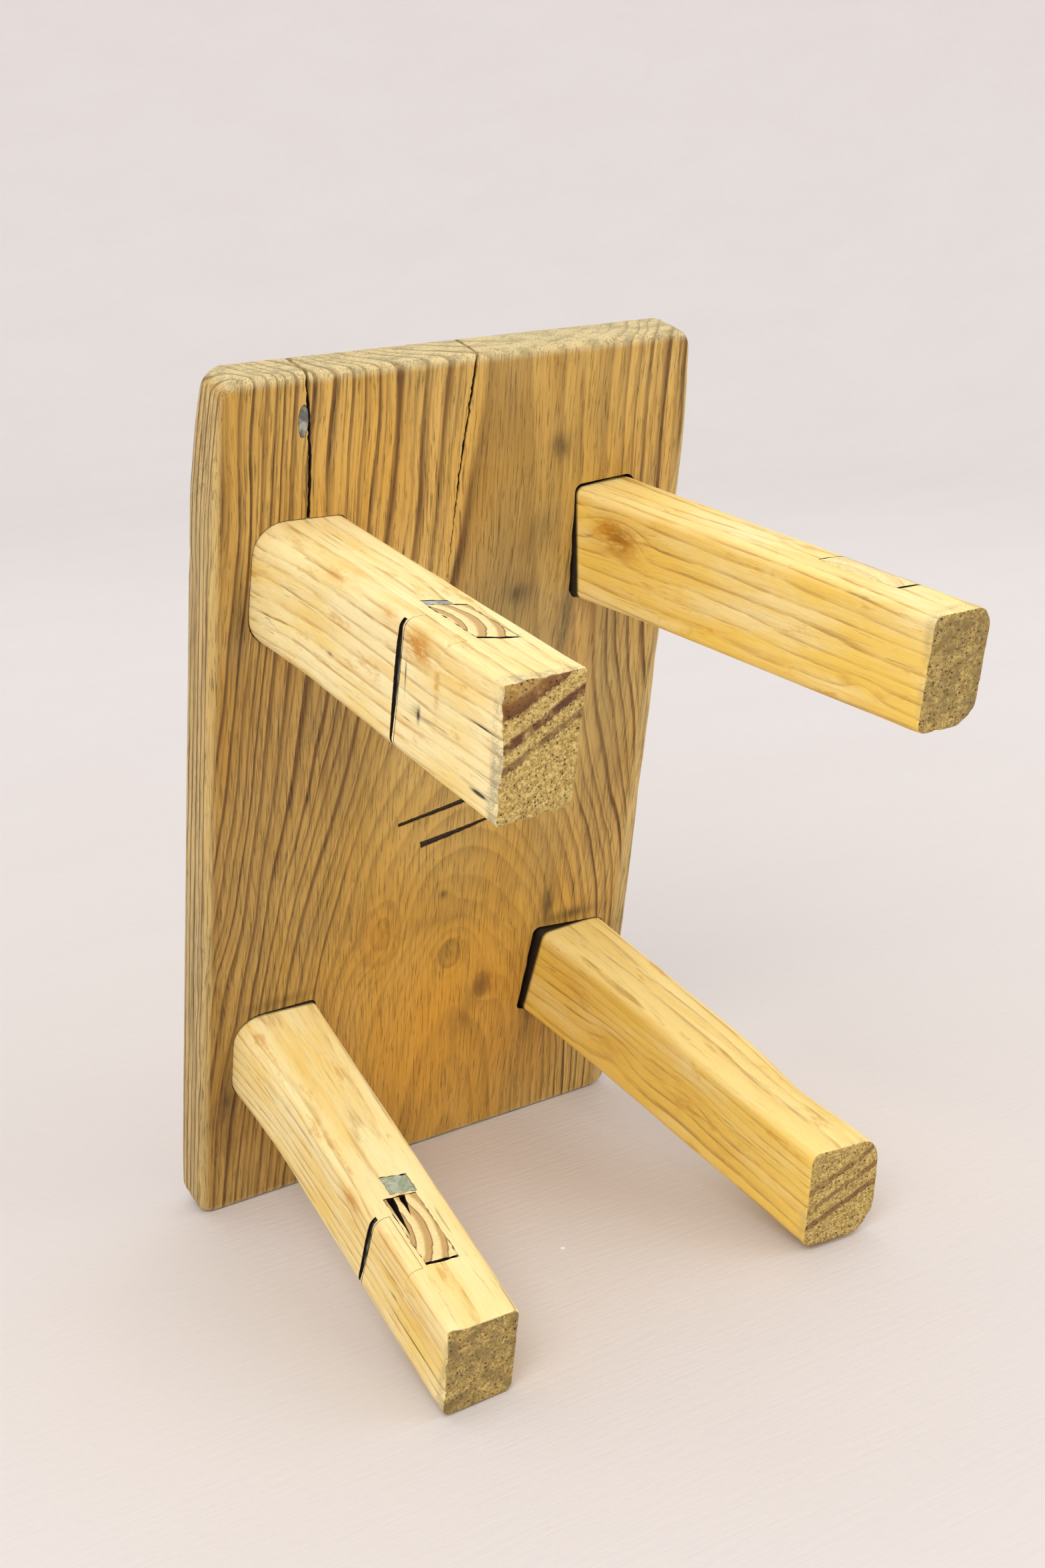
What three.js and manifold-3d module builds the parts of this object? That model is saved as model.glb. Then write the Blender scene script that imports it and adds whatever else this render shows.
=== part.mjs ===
// A low stool of reclaimed timber, stood up on one end of its seat.
// The seat is a board with four splayed legs let right through it and wedged from the sitting side.
// The legs were cut from an older frame, so they still hold its sawn-off tenons, laps and filler.
// Everything is drawn in the seat's own frame first: x across the seat, z along its length, and y
// through its thickness, with the underside at y = 0 and the legs pointing to -y. The whole stool is
// then leaned over, so that it stands on the seat's lower end and on the lower left foot.

import * as THREE from 'three';
import { mergeVertices } from 'three/addons/utils/BufferGeometryUtils.js';
import Module from 'manifold-3d';

const wasm = await Module();
wasm.setup();

// ---- driving dimensions, in millimetres and degrees ----

const seat = {
  width: 199,
  lowerFlare: 5,
  length: 359.5,
  thickness: 23.8,
  cornerRadius: 7,
  shoulderTaper: 3.8,
  taperLength: 60,
  undersideRound: 2.5,
  sittingSideRound: 8,
};

const lean = 14.06;
const fit = 0.3;
const flush = 0.15;
const cutMargin = 4;
const roundingSteps = 4;

// root and foot are section centres (x, z), sizes are (across, along the seat), turns are degrees.
// leftRound and rightRound are the corner radii at the root and at the foot, and swell is how far
// the left side bulges at the root. cut is how far the foot's end slopes per millimetre across and
// along the seat. mortiseGap is how far the hole was cut too wide to the left and above. waist is a
// worn dip in the upper right edge: where, how long and how deep.
const legs = {
  leg_upper_left: {
    root: [-64.4, 282.8], rootSize: [32, 47], rootTurn: -2, leftRound: [12, 2], rightRound: [3, 2],
    foot: [-72.7, 303.9], footSize: [30.4, 44.8], footTurn: -3.2, length: 167.4, cut: [0.16, 0.066],
    swell: 3.6, mortiseGap: [0, 0], colour: 0xecca86,
  },
  leg_upper_right: {
    root: [67, 279.8], rootSize: [26, 46], rootTurn: 3.2, leftRound: [3, 4], rightRound: [5, 7],
    foot: [91.1, 296.9], footSize: [24.9, 44.2], footTurn: 1.2, length: 167.5, cut: [-0.047, 0.03],
    swell: 1.4, mortiseGap: [1.7, 1.6], colour: 0xe3b968,
  },
  leg_lower_right: {
    root: [72.2, 77.1], rootSize: [33.4, 41.5], rootTurn: -6, leftRound: [3, 4], rightRound: [4, 10],
    foot: [97.4, 64.9], footSize: [33.8, 41.8], footTurn: -2.3, length: 162.8, cut: [-0.051, 0.157],
    swell: 1.5, mortiseGap: [3.2, 0.8], waist: { at: 0.75, reach: 0.12, depth: 4 }, colour: 0xdfb45f,
  },
  leg_lower_left: {
    root: [-66.3, 75.4], rootSize: [32.2, 41], rootTurn: -0.6, leftRound: [12, 3], rightRound: [3, 3],
    foot: [-73.1, 62], footSize: [29.4, 35.8], footTurn: -3, length: 171.8, cut: [0.038, 0.084],
    swell: 3.6, mortiseGap: [0, 0], colour: 0xe6c077,
  },
};
const swellFade = 0.3;
const footEdge = { inset: 0.9, length: 1.2 };

// Where the legs' sections are drawn, from the underside of the seat (0) towards the foot (1), and
// the extra rows of the seat's long sides, as parts of its length.
const legStations = [0, 0.1, 0.2, 0.3, 0.45, 0.6, 0.68, 0.75, 0.82, 0.9];
const sideRows = [0.84, 0.9, 0.95];

const wedge = { thickness: 3, tipThickness: 0.9, depth: 15, sideMargin: 2.5 };

// Old tenons, sawn off level with the leg's upper face. near and far are distances down the leg,
// left and right are distances across the face, and skew slants both ends.
const oldTenons = {
  old_tenon_upper_left: {
    leg: 'leg_upper_left', near: 98.1, far: 129.8, left: 12.2, right: 24.5, skew: 4, endGap: 1.5,
  },
  old_tenon_upper_right: {
    leg: 'leg_upper_right', near: 106, far: 140.2, left: 11.5, right: 21.2, skew: 2.7, endGap: 1.1,
  },
  old_tenon_lower_left: {
    leg: 'leg_lower_left', near: 107.3, far: 139.4, left: 7.7, right: 20.4, skew: 0.6, endGap: 0.9,
    broken: true,
  },
};
const oldTenonDepth = 20;

// Breaks in the lower left old tenon, each a wedge-shaped hole: the mouth's two sides, then the tip.
const tenonBreaks = [
  { mouth: [8.6, 12], tip: [126, 8.8] },
  { mouth: [13.4, 16.6], tip: [117.5, 13.6] },
];
const tenonBreakDepth = 7;
const breakOverrun = 2;

// Pieces let into the left faces: a lap of the old frame, and the saw slot beside it, filled dark.
// slant is how much further down the leg a piece lies at the face's upper edge than at its lower.
const oldLaps = {
  old_lap_upper_left: { leg: 'leg_upper_left', near: 105.2, far: 131, depth: 7, slant: 4.5 },
  old_lap_lower_left: { leg: 'leg_lower_left', near: 112, far: 138, depth: 5.5, slant: 3.2 },
};
const slotFills = {
  slot_fill_upper_left: { leg: 'leg_upper_left', near: 101.7, far: 104.9, depth: 9, slant: 4.5 },
  slot_fill_lower_left: { leg: 'leg_lower_left', near: 109, far: 111.7, depth: 6.5, slant: 3.2 },
};

// Grey filler pressed into the end of two of the old joints.
const fillers = {
  filler_upper_left: {
    leg: 'leg_upper_left', near: 93.4, far: 97, left: 12.4, right: 20.4, skew: 2.6, depth: 4,
  },
  filler_lower_left: {
    leg: 'leg_lower_left', near: 97.5, far: 106, left: 11.3, right: 21.3, skew: 1.5, depth: 5,
  },
};
const seatFiller = { x: -65.8, z: 342.4, width: 3.6, height: 11.5, depth: 4, sides: 20 };

const colours = {
  seat: 0xb8905a, oldTenon: 0xe2bd86, oldLap: 0xe8c987, wedge: 0xc99a5c, legFiller: 0xb9bcb0,
  seatFiller: 0x9a9790, slotFill: 0x3d362c,
};

// Shakes running in from the seat's upper end: x at the end and at the tip, the width at both,
// how far they run and how deep they are. The first is split right through, down to a mortise.
const shakes = [
  { top: -65, tip: -62.5, length: 54, depth: 30, width: 1.1, tipWidth: 0.7 },
  { top: 2.4, tip: -3.2, length: 84, depth: 14, width: 1, tipWidth: 0.1 },
];

// ---- small helpers ----

const radians = THREE.MathUtils.degToRad;
const mix = THREE.MathUtils.lerp;

function toSolid(geometry) {
  const bare = geometry.clone();
  bare.deleteAttribute('normal');
  bare.deleteAttribute('uv');
  const welded = mergeVertices(bare, 1e-4);
  const vertProperties = new Float32Array(welded.attributes.position.array);
  const triVerts = new Uint32Array(welded.index.array);
  return new wasm.Manifold(new wasm.Mesh({ numProp: 3, vertProperties, triVerts }));
}

function toGeometry(solid) {
  const mesh = solid.getMesh();
  const geometry = new THREE.BufferGeometry();
  geometry.setAttribute('position', new THREE.BufferAttribute(new Float32Array(mesh.vertProperties), 3));
  geometry.setIndex(new THREE.BufferAttribute(new Uint32Array(mesh.triVerts), 1));
  geometry.computeVertexNormals();
  return geometry;
}

function cutAway(geometry, cutters) {
  const whole = cutters.reduce((solid, cutter) => solid.subtract(toSolid(cutter)), toSolid(geometry));
  return toGeometry(whole);
}

// Skin a row of closed outlines, all with the same number of points, and close both ends.
function loft(outlines) {
  const count = outlines[0].length;
  const points = outlines.flat();
  const faces = [];
  for (let row = 0; row + 1 < outlines.length; row += 1) {
    for (let i = 0; i < count; i += 1) {
      const next = (i + 1) % count;
      const a = row * count + i;
      const b = row * count + next;
      faces.push(a, b, a + count, b, b + count, a + count);
    }
  }
  const last = (outlines.length - 1) * count;
  for (let i = 1; i + 1 < count; i += 1) {
    faces.push(0, i + 1, i);
    faces.push(last, last + i, last + i + 1);
  }
  const geometry = new THREE.BufferGeometry();
  geometry.setAttribute('position', new THREE.Float32BufferAttribute(points.flatMap((p) => p.toArray()), 3));
  geometry.setIndex(faces);
  geometry.computeVertexNormals();
  return geometry;
}

// A rectangle with its own radius at each corner, as [x, z] pairs running anticlockwise from the
// lower right, seen from the side that the legs point to.
function roundedRectangle(width, height, leftRadius, rightRadius) {
  const corners = [
    [1, -1, rightRadius, -90],
    [1, 1, rightRadius, 0],
    [-1, 1, leftRadius, 90],
    [-1, -1, leftRadius, 180],
  ];
  return corners.flatMap(([sideX, sideZ, radius, start]) => {
    const centreX = sideX * (width / 2 - radius);
    const centreZ = sideZ * (height / 2 - radius);
    return Array.from({ length: roundingSteps + 1 }, (_, step) => {
      const angle = radians(start + (90 * step) / roundingSteps);
      return [centreX + radius * Math.cos(angle), centreZ + radius * Math.sin(angle)];
    });
  });
}

// ---- the seat ----

// Turns a plain rectangle into the seat's outline: wider on the right towards the lower end, and
// drawn in at both shoulders towards the upper end.
function shapeSeat(x, z) {
  const nearTop = Math.max(0, (z - seat.length + seat.taperLength) / seat.taperLength);
  const side = (2 * x) / seat.width;
  const flare = side > 0 ? seat.lowerFlare * (1 - z / seat.length) : 0;
  return x + side * (flare - seat.shoulderTaper * nearTop * nearTop);
}

function seatOutline(inset, y) {
  const width = seat.width - 2 * inset;
  const length = seat.length - 2 * inset;
  const plain = roundedRectangle(width, length, seat.cornerRadius, seat.cornerRadius);
  const outline = plain.map(([x, z]) => [x, z + seat.length / 2]);
  return withSideRows(outline).map(([x, z]) => new THREE.Vector3(shapeSeat(x, z), y, z));
}

// The long sides get extra points near the upper end, so that the shoulders curve.
function withSideRows(outline) {
  return outline.flatMap((point, i) => {
    const next = outline[(i + 1) % outline.length];
    if (Math.abs(next[1] - point[1]) < seat.length / 2) {
      return [point];
    }
    const climbing = next[1] > point[1] ? sideRows : [...sideRows].reverse();
    return [point, ...climbing.map((part) => [point[0], seat.length * part])];
  });
}

function seatBoard() {
  const rows = [];
  for (let step = 0; step <= roundingSteps; step += 1) {
    const angle = radians((90 * step) / roundingSteps);
    const inset = seat.undersideRound * (1 - Math.sin(angle));
    rows.push([inset, seat.undersideRound * (1 - Math.cos(angle))]);
  }
  for (let step = 0; step <= roundingSteps; step += 1) {
    const angle = radians((90 * step) / roundingSteps);
    const inset = seat.sittingSideRound * (1 - Math.cos(angle));
    rows.push([inset, seat.thickness - seat.sittingSideRound * (1 - Math.sin(angle))]);
  }
  const outlines = rows.map(([inset, y]) => seatOutline(inset, y));
  return loft(outlines.reverse());
}

function shakeCutter({ top, tip, length, depth, width, tipWidth }) {
  const outline = new THREE.Shape();
  outline.moveTo(tip - tipWidth / 2, length - seat.length);
  outline.lineTo(top - width / 2, -seat.length - cutMargin);
  outline.lineTo(top + width / 2, -seat.length - cutMargin);
  outline.lineTo(tip + tipWidth / 2, length - seat.length);
  outline.closePath();
  const prism = new THREE.ExtrudeGeometry(outline, { depth: depth + cutMargin, bevelEnabled: false });
  return prism.rotateX(-Math.PI / 2).translate(0, -cutMargin, 0);
}

// ---- the legs ----

// A point of the leg: along is 0 at the seat's underside and 1 at the foot, and x and z are
// millimetres from the middle of the section, across and along the seat.
function pointOnLeg(leg, along, x, z) {
  const turn = radians(mix(leg.rootTurn, leg.footTurn, along));
  return new THREE.Vector3(
    mix(leg.root[0], leg.foot[0], along) + x * Math.cos(turn) - z * Math.sin(turn),
    -leg.length * along,
    mix(leg.root[1], leg.foot[1], along) + x * Math.sin(turn) + z * Math.cos(turn),
  );
}

function sectionSize(leg, along) {
  return [
    mix(leg.rootSize[0], leg.footSize[0], along),
    mix(leg.rootSize[1], leg.footSize[1], along),
  ];
}

function dipAt({ at, reach, depth }, along) {
  return depth * Math.exp(-(((along - at) / reach) ** 2));
}

function legSection(leg, along, spread) {
  const held = Math.max(0, along);
  const [width, height] = sectionSize(leg, along);
  const swell = leg.swell * Math.max(0, 1 - held / swellFade) ** 2;
  const left = mix(leg.leftRound[0], leg.leftRound[1], Math.sqrt(held));
  const right = mix(leg.rightRound[0], leg.rightRound[1], held);
  const dip = leg.waist ? dipAt(leg.waist, along) : 0;
  const plain = roundedRectangle(width + swell + 2 * spread, height + 2 * spread, left, right);
  return plain.map(([x, z]) => {
    const towardsCorner = Math.max(0, (2 * x) / width) * Math.max(0, (2 * z) / height);
    return pointOnLeg(leg, along, x - swell / 2, z - dip * towardsCorner);
  });
}

function footSection(leg, inset, back) {
  const along = 1 - back / leg.length;
  return legSection(leg, along, -inset).map((point) => {
    const slope = leg.cut[0] * (point.x - leg.foot[0]) + leg.cut[1] * (point.z - leg.foot[1]);
    return point.setY(point.y + slope);
  });
}

function legBlank(leg) {
  const inSeat = -(seat.thickness - flush) / leg.length;
  const outlines = [inSeat, ...legStations].map((along) => legSection(leg, along, 0));
  outlines.push(footSection(leg, 0, footEdge.length));
  outlines.push(footSection(leg, footEdge.inset, 0));
  return loft(outlines);
}

// The hole for a leg, with a gap beside and above it where the leg was cut short of the wood.
function mortises(leg) {
  const stations = [-(seat.thickness + cutMargin) / leg.length, 0, cutMargin / leg.length];
  const [beside, above] = leg.mortiseGap;
  const tight = stations.map((along) => legSection(leg, along, fit));
  const eased = tight.map((outline) => outline.map((p) => new THREE.Vector3(p.x - beside, p.y, p.z + above)));
  return [loft(tight), loft(eased)];
}

// A frame on one of the leg's faces: x runs down the leg and z points out of the wood. On the upper
// face y is measured from the left edge, and on the left face it is measured from the lower edge.
function faceFrame(leg, face, down, across) {
  const place = (distance, side) => {
    const along = distance / leg.length;
    const [width, height] = sectionSize(leg, along);
    if (face === 'upper') {
      return pointOnLeg(leg, along, side - width / 2, height / 2);
    }
    return pointOnLeg(leg, along, -width / 2, side - height / 2);
  };
  const origin = place(down, across);
  const xAxis = place(down + 1, across).sub(origin).normalize();
  const towards = place(down, across + 1).sub(origin);
  const zAxis = new THREE.Vector3().crossVectors(xAxis, towards).normalize();
  const yAxis = new THREE.Vector3().crossVectors(zAxis, xAxis);
  return new THREE.Matrix4().makeBasis(xAxis, yAxis, zAxis).setPosition(origin);
}

// A prism let into a face. corners are [down, across] from the frame's origin, and sunk is how far
// its outer end lies under the face (negative for a cutter that stands proud of it).
function inlay(corners, depth, sunk) {
  const outline = new THREE.Shape(corners.map(([x, y]) => new THREE.Vector2(x, y)));
  const prism = new THREE.ExtrudeGeometry(outline, { depth: depth - sunk, bevelEnabled: false });
  return prism.translate(0, 0, -depth);
}

// A four-sided outline about its own middle, with both ends slanted by skew.
function slanted(long, wide, skew) {
  const end = long / 2;
  const side = wide / 2;
  const slip = skew / 2;
  return [[-end - slip, -side], [end - slip, -side], [end + slip, side], [-end + slip, side]];
}

// ---- what is let into the legs ----

const stool = new THREE.Group();
const pockets = Object.fromEntries(Object.keys(legs).map((name) => [name, []]));
const woodLook = { roughness: 0.62, metalness: 0 };

function addMesh(name, geometry, colour) {
  const mesh = new THREE.Mesh(geometry, new THREE.MeshStandardMaterial({ color: colour, ...woodLook }));
  mesh.name = name;
  stool.add(mesh);
  return mesh;
}

// Lets a piece into a leg's upper face, and leaves its pocket to be cut when the leg is made.
function letIn(name, piece, depth, endGap, breaks, colour) {
  const { near, far, left, right, skew } = piece;
  const frame = faceFrame(legs[piece.leg], 'upper', (near + far) / 2, (left + right) / 2);
  const body = inlay(slanted(far - near, right - left, skew), depth, flush);
  const mesh = addMesh(name, breaks.length > 0 ? cutAway(body, breaks) : body, colour);
  frame.decompose(mesh.position, mesh.quaternion, mesh.scale);
  const pocket = slanted(far - near + 2 * fit + endGap, right - left + 2 * fit, skew);
  const cutter = inlay(pocket, depth + fit, -cutMargin).translate(endGap / 2, 0, 0);
  pockets[piece.leg].push(cutter.applyMatrix4(frame));
}

function breaksIn({ near, far, left, right }) {
  const middle = (near + far) / 2;
  const centre = (left + right) / 2;
  const mouthAt = near - middle - breakOverrun;
  return tenonBreaks.map(({ mouth, tip }) => inlay([
    [mouthAt, mouth[0] - centre],
    [tip[0] - middle, tip[1] - centre],
    [mouthAt, mouth[1] - centre],
  ], tenonBreakDepth, -cutMargin));
}

function addOldTenons() {
  Object.entries(oldTenons).forEach(([name, tenon]) => {
    const breaks = tenon.broken ? breaksIn(tenon) : [];
    letIn(name, tenon, oldTenonDepth, tenon.endGap, breaks, colours.oldTenon);
  });
}

function addFillers() {
  Object.entries(fillers).forEach(([name, filler]) => {
    letIn(name, filler, filler.depth, 0, [], colours.legFiller);
  });
}

// A strip across the whole of a leg's left face, trimmed to the shape of the leg itself.
function addAcrossLeftFace(pieces, colour) {
  Object.entries(pieces).forEach(([name, piece]) => {
    const leg = legs[piece.leg];
    const middle = (piece.near + piece.far) / 2;
    const [, height] = sectionSize(leg, middle / leg.length);
    const frame = faceFrame(leg, 'left', middle, height / 2);
    const reach = height + 2 * cutMargin;
    const skew = (piece.slant * reach) / height;
    const long = piece.far - piece.near;
    const slab = inlay(slanted(long, reach, skew), piece.depth, -cutMargin).applyMatrix4(frame);
    const trimmed = toGeometry(toSolid(slab).intersect(toSolid(legBlank(leg))));
    const sunk = new THREE.Vector3().setFromMatrixColumn(frame, 2).multiplyScalar(-flush);
    addMesh(name, trimmed.translate(sunk.x, sunk.y, sunk.z), colour);
    const pocket = inlay(slanted(long + 2 * fit, reach, skew), piece.depth + fit + flush, -cutMargin);
    pockets[piece.leg].push(pocket.applyMatrix4(frame));
  });
}

// ---- wedges, driven into each leg's end across the grain of the seat ----

function wedgeSolid(leg, growth, proud) {
  const centre = pointOnLeg(leg, -seat.thickness / leg.length, 0, 0);
  const reach = leg.rootSize[0] / 2 - wedge.sideMargin + growth;
  const mouth = wedge.thickness / 2 + growth;
  const tip = wedge.tipThickness / 2 + growth;
  const outline = new THREE.Shape();
  outline.moveTo(-mouth, proud);
  outline.lineTo(-tip, -wedge.depth - growth);
  outline.lineTo(tip, -wedge.depth - growth);
  outline.lineTo(mouth, proud);
  outline.closePath();
  const prism = new THREE.ExtrudeGeometry(outline, { depth: 2 * reach, bevelEnabled: false });
  prism.translate(0, 0, -reach);
  prism.rotateY(Math.PI / 2 - radians(leg.rootTurn));
  return prism.translate(centre.x, seat.thickness, centre.z);
}

// ---- putting it together ----

function addLegs() {
  Object.entries(legs).forEach(([name, leg]) => {
    const slot = wedgeSolid(leg, fit, cutMargin);
    addMesh(name, cutAway(legBlank(leg), [...pockets[name], slot]), leg.colour);
    addMesh(name.replace('leg', 'wedge'), wedgeSolid(leg, 0, -2 * flush), colours.wedge);
  });
}

function seatFillerSolid(growth, sunk) {
  const { x, z, width, height, depth, sides } = seatFiller;
  const plug = new THREE.CylinderGeometry(1, 1, depth + growth - sunk, sides);
  plug.scale(width / 2 + growth, 1, height / 2 + growth);
  return plug.translate(x, (depth + growth + sunk) / 2, z);
}

function addSeat() {
  const cutters = [...Object.values(legs).flatMap(mortises), ...shakes.map(shakeCutter)];
  cutters.push(seatFillerSolid(fit, -cutMargin));
  addMesh('seat_board', cutAway(seatBoard(), cutters), colours.seat);
  addMesh('seat_filler', seatFillerSolid(0, flush), colours.seatFiller);
}

addOldTenons();
addFillers();
addAcrossLeftFace(oldLaps, colours.oldLap);
addAcrossLeftFace(slotFills, colours.slotFill);
addLegs();
addSeat();

// Lean the stool over, then stand it on the floor with the middle of its extent over the origin.
const standing = new THREE.Group();
stool.rotation.x = radians(lean);
standing.add(stool);
standing.updateMatrixWorld(true);
const extent = new THREE.Box3().setFromObject(standing, true);
const middle = extent.getCenter(new THREE.Vector3());
standing.position.set(-middle.x, -middle.y, -extent.min.z);

export default standing;
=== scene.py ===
import math

import bmesh
import bpy
import numpy as np
from mathutils import Matrix, Vector, noise


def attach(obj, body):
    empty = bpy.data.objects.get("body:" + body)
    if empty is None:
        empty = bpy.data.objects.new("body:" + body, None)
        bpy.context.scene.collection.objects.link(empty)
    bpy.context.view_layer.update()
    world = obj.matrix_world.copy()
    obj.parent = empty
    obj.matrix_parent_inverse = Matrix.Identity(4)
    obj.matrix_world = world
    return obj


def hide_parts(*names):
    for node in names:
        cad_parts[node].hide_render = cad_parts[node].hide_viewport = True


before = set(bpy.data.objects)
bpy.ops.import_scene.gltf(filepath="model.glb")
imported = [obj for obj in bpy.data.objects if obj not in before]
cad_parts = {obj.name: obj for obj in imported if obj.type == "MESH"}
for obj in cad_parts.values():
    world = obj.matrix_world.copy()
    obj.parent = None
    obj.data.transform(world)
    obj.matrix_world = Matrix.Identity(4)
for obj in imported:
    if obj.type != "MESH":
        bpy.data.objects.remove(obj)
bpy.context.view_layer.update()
print("frame loaded:", len(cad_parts), "pieces")

# Everything is drawn in millimetres in the seat's own frame: x across the seat, y through its
# thickness (0 on the underside, where the legs come out towards -y) and z along its length.
# The stool then leans over, and stands on the seat's lower end and the lower left foot.

seat = {
    "width": 199.0, "lowerFlare": 5.0, "length": 359.5, "thickness": 23.8,
    "cornerRadius": 7.0, "shoulderTaper": 3.8, "taperLength": 60.0,
    "undersideRound": 2.5, "sittingSideRound": 8.0,
    "lean": 14.06, "spacing": 2.3, "cornerSteps": 5, "roundSteps": 6,
    "hollows": 0.35, "lowerEndWear": 3.6, "upperEndWear": 2.4, "wearReach": 34.0,
}

legs = {
    "leg_upper_left": {
        "root": (-64.4, 282.8), "rootSize": (32, 47), "rootTurn": -2, "leftRound": (12, 2),
        "rightRound": (3, 2), "foot": (-72.7, 303.9), "footSize": (30.4, 44.8), "footTurn": -3.2,
        "length": 167.4, "cut": (0.16, 0.066), "swell": 3.6, "gap": (0, 0), "waist": (0.7, 0.1, 0),
    },
    "leg_upper_right": {
        "root": (67, 279.8), "rootSize": (26, 46), "rootTurn": 3.2, "leftRound": (3, 4),
        "rightRound": (5, 7), "foot": (91.1, 296.9), "footSize": (24.9, 44.2), "footTurn": 1.2,
        "length": 167.5, "cut": (-0.047, 0.03), "swell": 1.4, "gap": (0.8, 1.2), "waist": (0.7, 0.1, 0),
    },
    "leg_lower_right": {
        "root": (72.2, 77.1), "rootSize": (33.4, 41.5), "rootTurn": -6, "leftRound": (3, 4),
        "rightRound": (4, 10), "foot": (97.4, 64.9), "footSize": (33.8, 41.8), "footTurn": -2.3,
        "length": 162.8, "cut": (-0.051, 0.157), "swell": 1.5, "gap": (1.8, 0.7), "waist": (0.75, 0.12, 4),
    },
    "leg_lower_left": {
        "root": (-66.3, 75.4), "rootSize": (32.2, 41), "rootTurn": -0.6, "leftRound": (12, 3),
        "rightRound": (3, 3), "foot": (-73.1, 62), "footSize": (29.4, 35.8), "footTurn": -3,
        "length": 171.8, "cut": (0.038, 0.084), "swell": 3.6, "gap": (0, 0), "waist": (0.7, 0.1, 0),
    },
}

legMesh = {
    "swellFade": 0.3, "cornerSteps": 7, "acrossSteps": 11, "upSteps": 16, "stationGap": 1.7,
    "flush": 0.15, "fit": 0.3, "capRings": 10, "toolMarks": 0.28, "chip": 1.1,
    "chipReach": 5.0, "edge": 0.9,
}

turned = Matrix.Rotation(math.radians(seat["lean"]), 4, "X")


def seatPlace():
    # where the seat's own frame lies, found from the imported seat
    upright = turned.inverted()
    corners = [upright @ v.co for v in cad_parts["seat_board"].data.vertices]
    lowest = Vector([min(c[i] for c in corners) for i in range(3)])
    shift = lowest + Vector((seat["width"] / 2000, 0, 0))
    return turned @ Matrix.Translation(shift) @ Matrix.Scale(0.001, 4)


place = seatPlace()


# meshes

def grainNoise(points, scale, seed):
    # one value from -1 to 1 for each point, with its own scale along each axis
    shift = Vector((seed * 17.3, seed * 5.1, seed * 9.7))
    return np.array([
        noise.noise(Vector((p[0] * scale[0], p[1] * scale[1], p[2] * scale[2])) + shift)
        for p in points
    ])


def newObject(name, points, faces):
    mesh = bpy.data.meshes.new(name)
    mesh.from_pydata([tuple(map(float, p)) for p in points], [], [tuple(map(int, f)) for f in faces])
    mesh.update()
    made = bpy.data.objects.new(name, mesh)
    bpy.context.scene.collection.objects.link(made)
    return made


def discard(thing):
    mesh = thing.data
    bpy.data.objects.remove(thing)
    bpy.data.meshes.remove(mesh)


def settle(thing):
    # turns what the modifiers make into the object's plain mesh
    graph = bpy.context.evaluated_depsgraph_get()
    plain = bpy.data.meshes.new_from_object(thing.evaluated_get(graph))
    thing.modifiers.clear()
    before = thing.data
    thing.data = plain
    bpy.data.meshes.remove(before)


def combine(thing, tool, operation="DIFFERENCE"):
    step = thing.modifiers.new("cut", "BOOLEAN")
    step.operation = operation
    step.solver = "MANIFOLD"
    step.object = tool
    settle(thing)
    discard(tool)


def copyOf(thing, name):
    made = bpy.data.objects.new(name, thing.data.copy())
    bpy.context.scene.collection.objects.link(made)
    return made


def skinRows(rows, capRings, dish):
    # closed outlines joined one to the next, with a fine ring-shaped cap over both ends
    count = len(rows[0])
    allRows = [np.array(r, float) for r in rows]

    def capRows(outline, inward):
        centre = outline.mean(0)
        made = []
        for ring in range(1, capRings):
            share = 1 - ring / capRings
            row = centre + (outline - centre) * share
            row = row + inward * (dish * (0.5 + 0.5 * grainNoise(row, (0.35, 0.35, 0.35), 3))[:, None])
            made.append(row)
        return made, centre + inward * dish * 0.5

    start, startTip = capRows(allRows[0], np.array((0, -1.0, 0)))
    end, endTip = capRows(allRows[-1], np.array((0, 1.0, 0)))
    ordered = start[::-1] + allRows + end
    points = np.vstack(ordered + [startTip[None], endTip[None]])
    faces = []
    for row in range(len(ordered) - 1):
        for i in range(count):
            j = (i + 1) % count
            a, b = row * count + i, row * count + j
            faces.append((a, b, b + count, a + count))
    last = (len(ordered) - 1) * count
    tipA, tipB = len(points) - 2, len(points) - 1
    for i in range(count):
        j = (i + 1) % count
        faces.append((tipA, j, i))
        faces.append((tipB, last + i, last + j))
    return points, faces


def prism(name, outline, low, high, matrix):
    # an outline in the x-y plane, given anticlockwise, made solid from low to high along z
    count = len(outline)
    points = [matrix @ Vector((x, y, low)) for x, y in outline]
    points += [matrix @ Vector((x, y, high)) for x, y in outline]
    faces = [tuple(range(count))[::-1], tuple(range(count, 2 * count))]
    faces += [(i, (i + 1) % count, (i + 1) % count + count, i + count) for i in range(count)]
    return newObject(name, points, faces)


def roughen(outline, step, amount, seed):
    # splits an outline's sides and moves the new points a little, for a torn or hand-cut edge
    made = []
    for index, start in enumerate(outline):
        a, b = Vector(start), Vector(outline[(index + 1) % len(outline)])
        parts = max(1, round((b - a).length / step))
        side = (b - a).normalized()
        out = Vector((side.y, -side.x))
        for part in range(parts):
            at = a.lerp(b, part / parts)
            wobble = noise.noise(Vector((at.x * 0.9, at.y * 0.9, seed * 3.7)))
            wobble += 0.6 * noise.noise(Vector((at.x * 2.7, at.y * 2.7, seed * 5.9)))
            made.append(tuple(at + out * wobble * amount * (part > 0)))
    return made


# cracks and scribed lines, which follow a path over the seat

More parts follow.
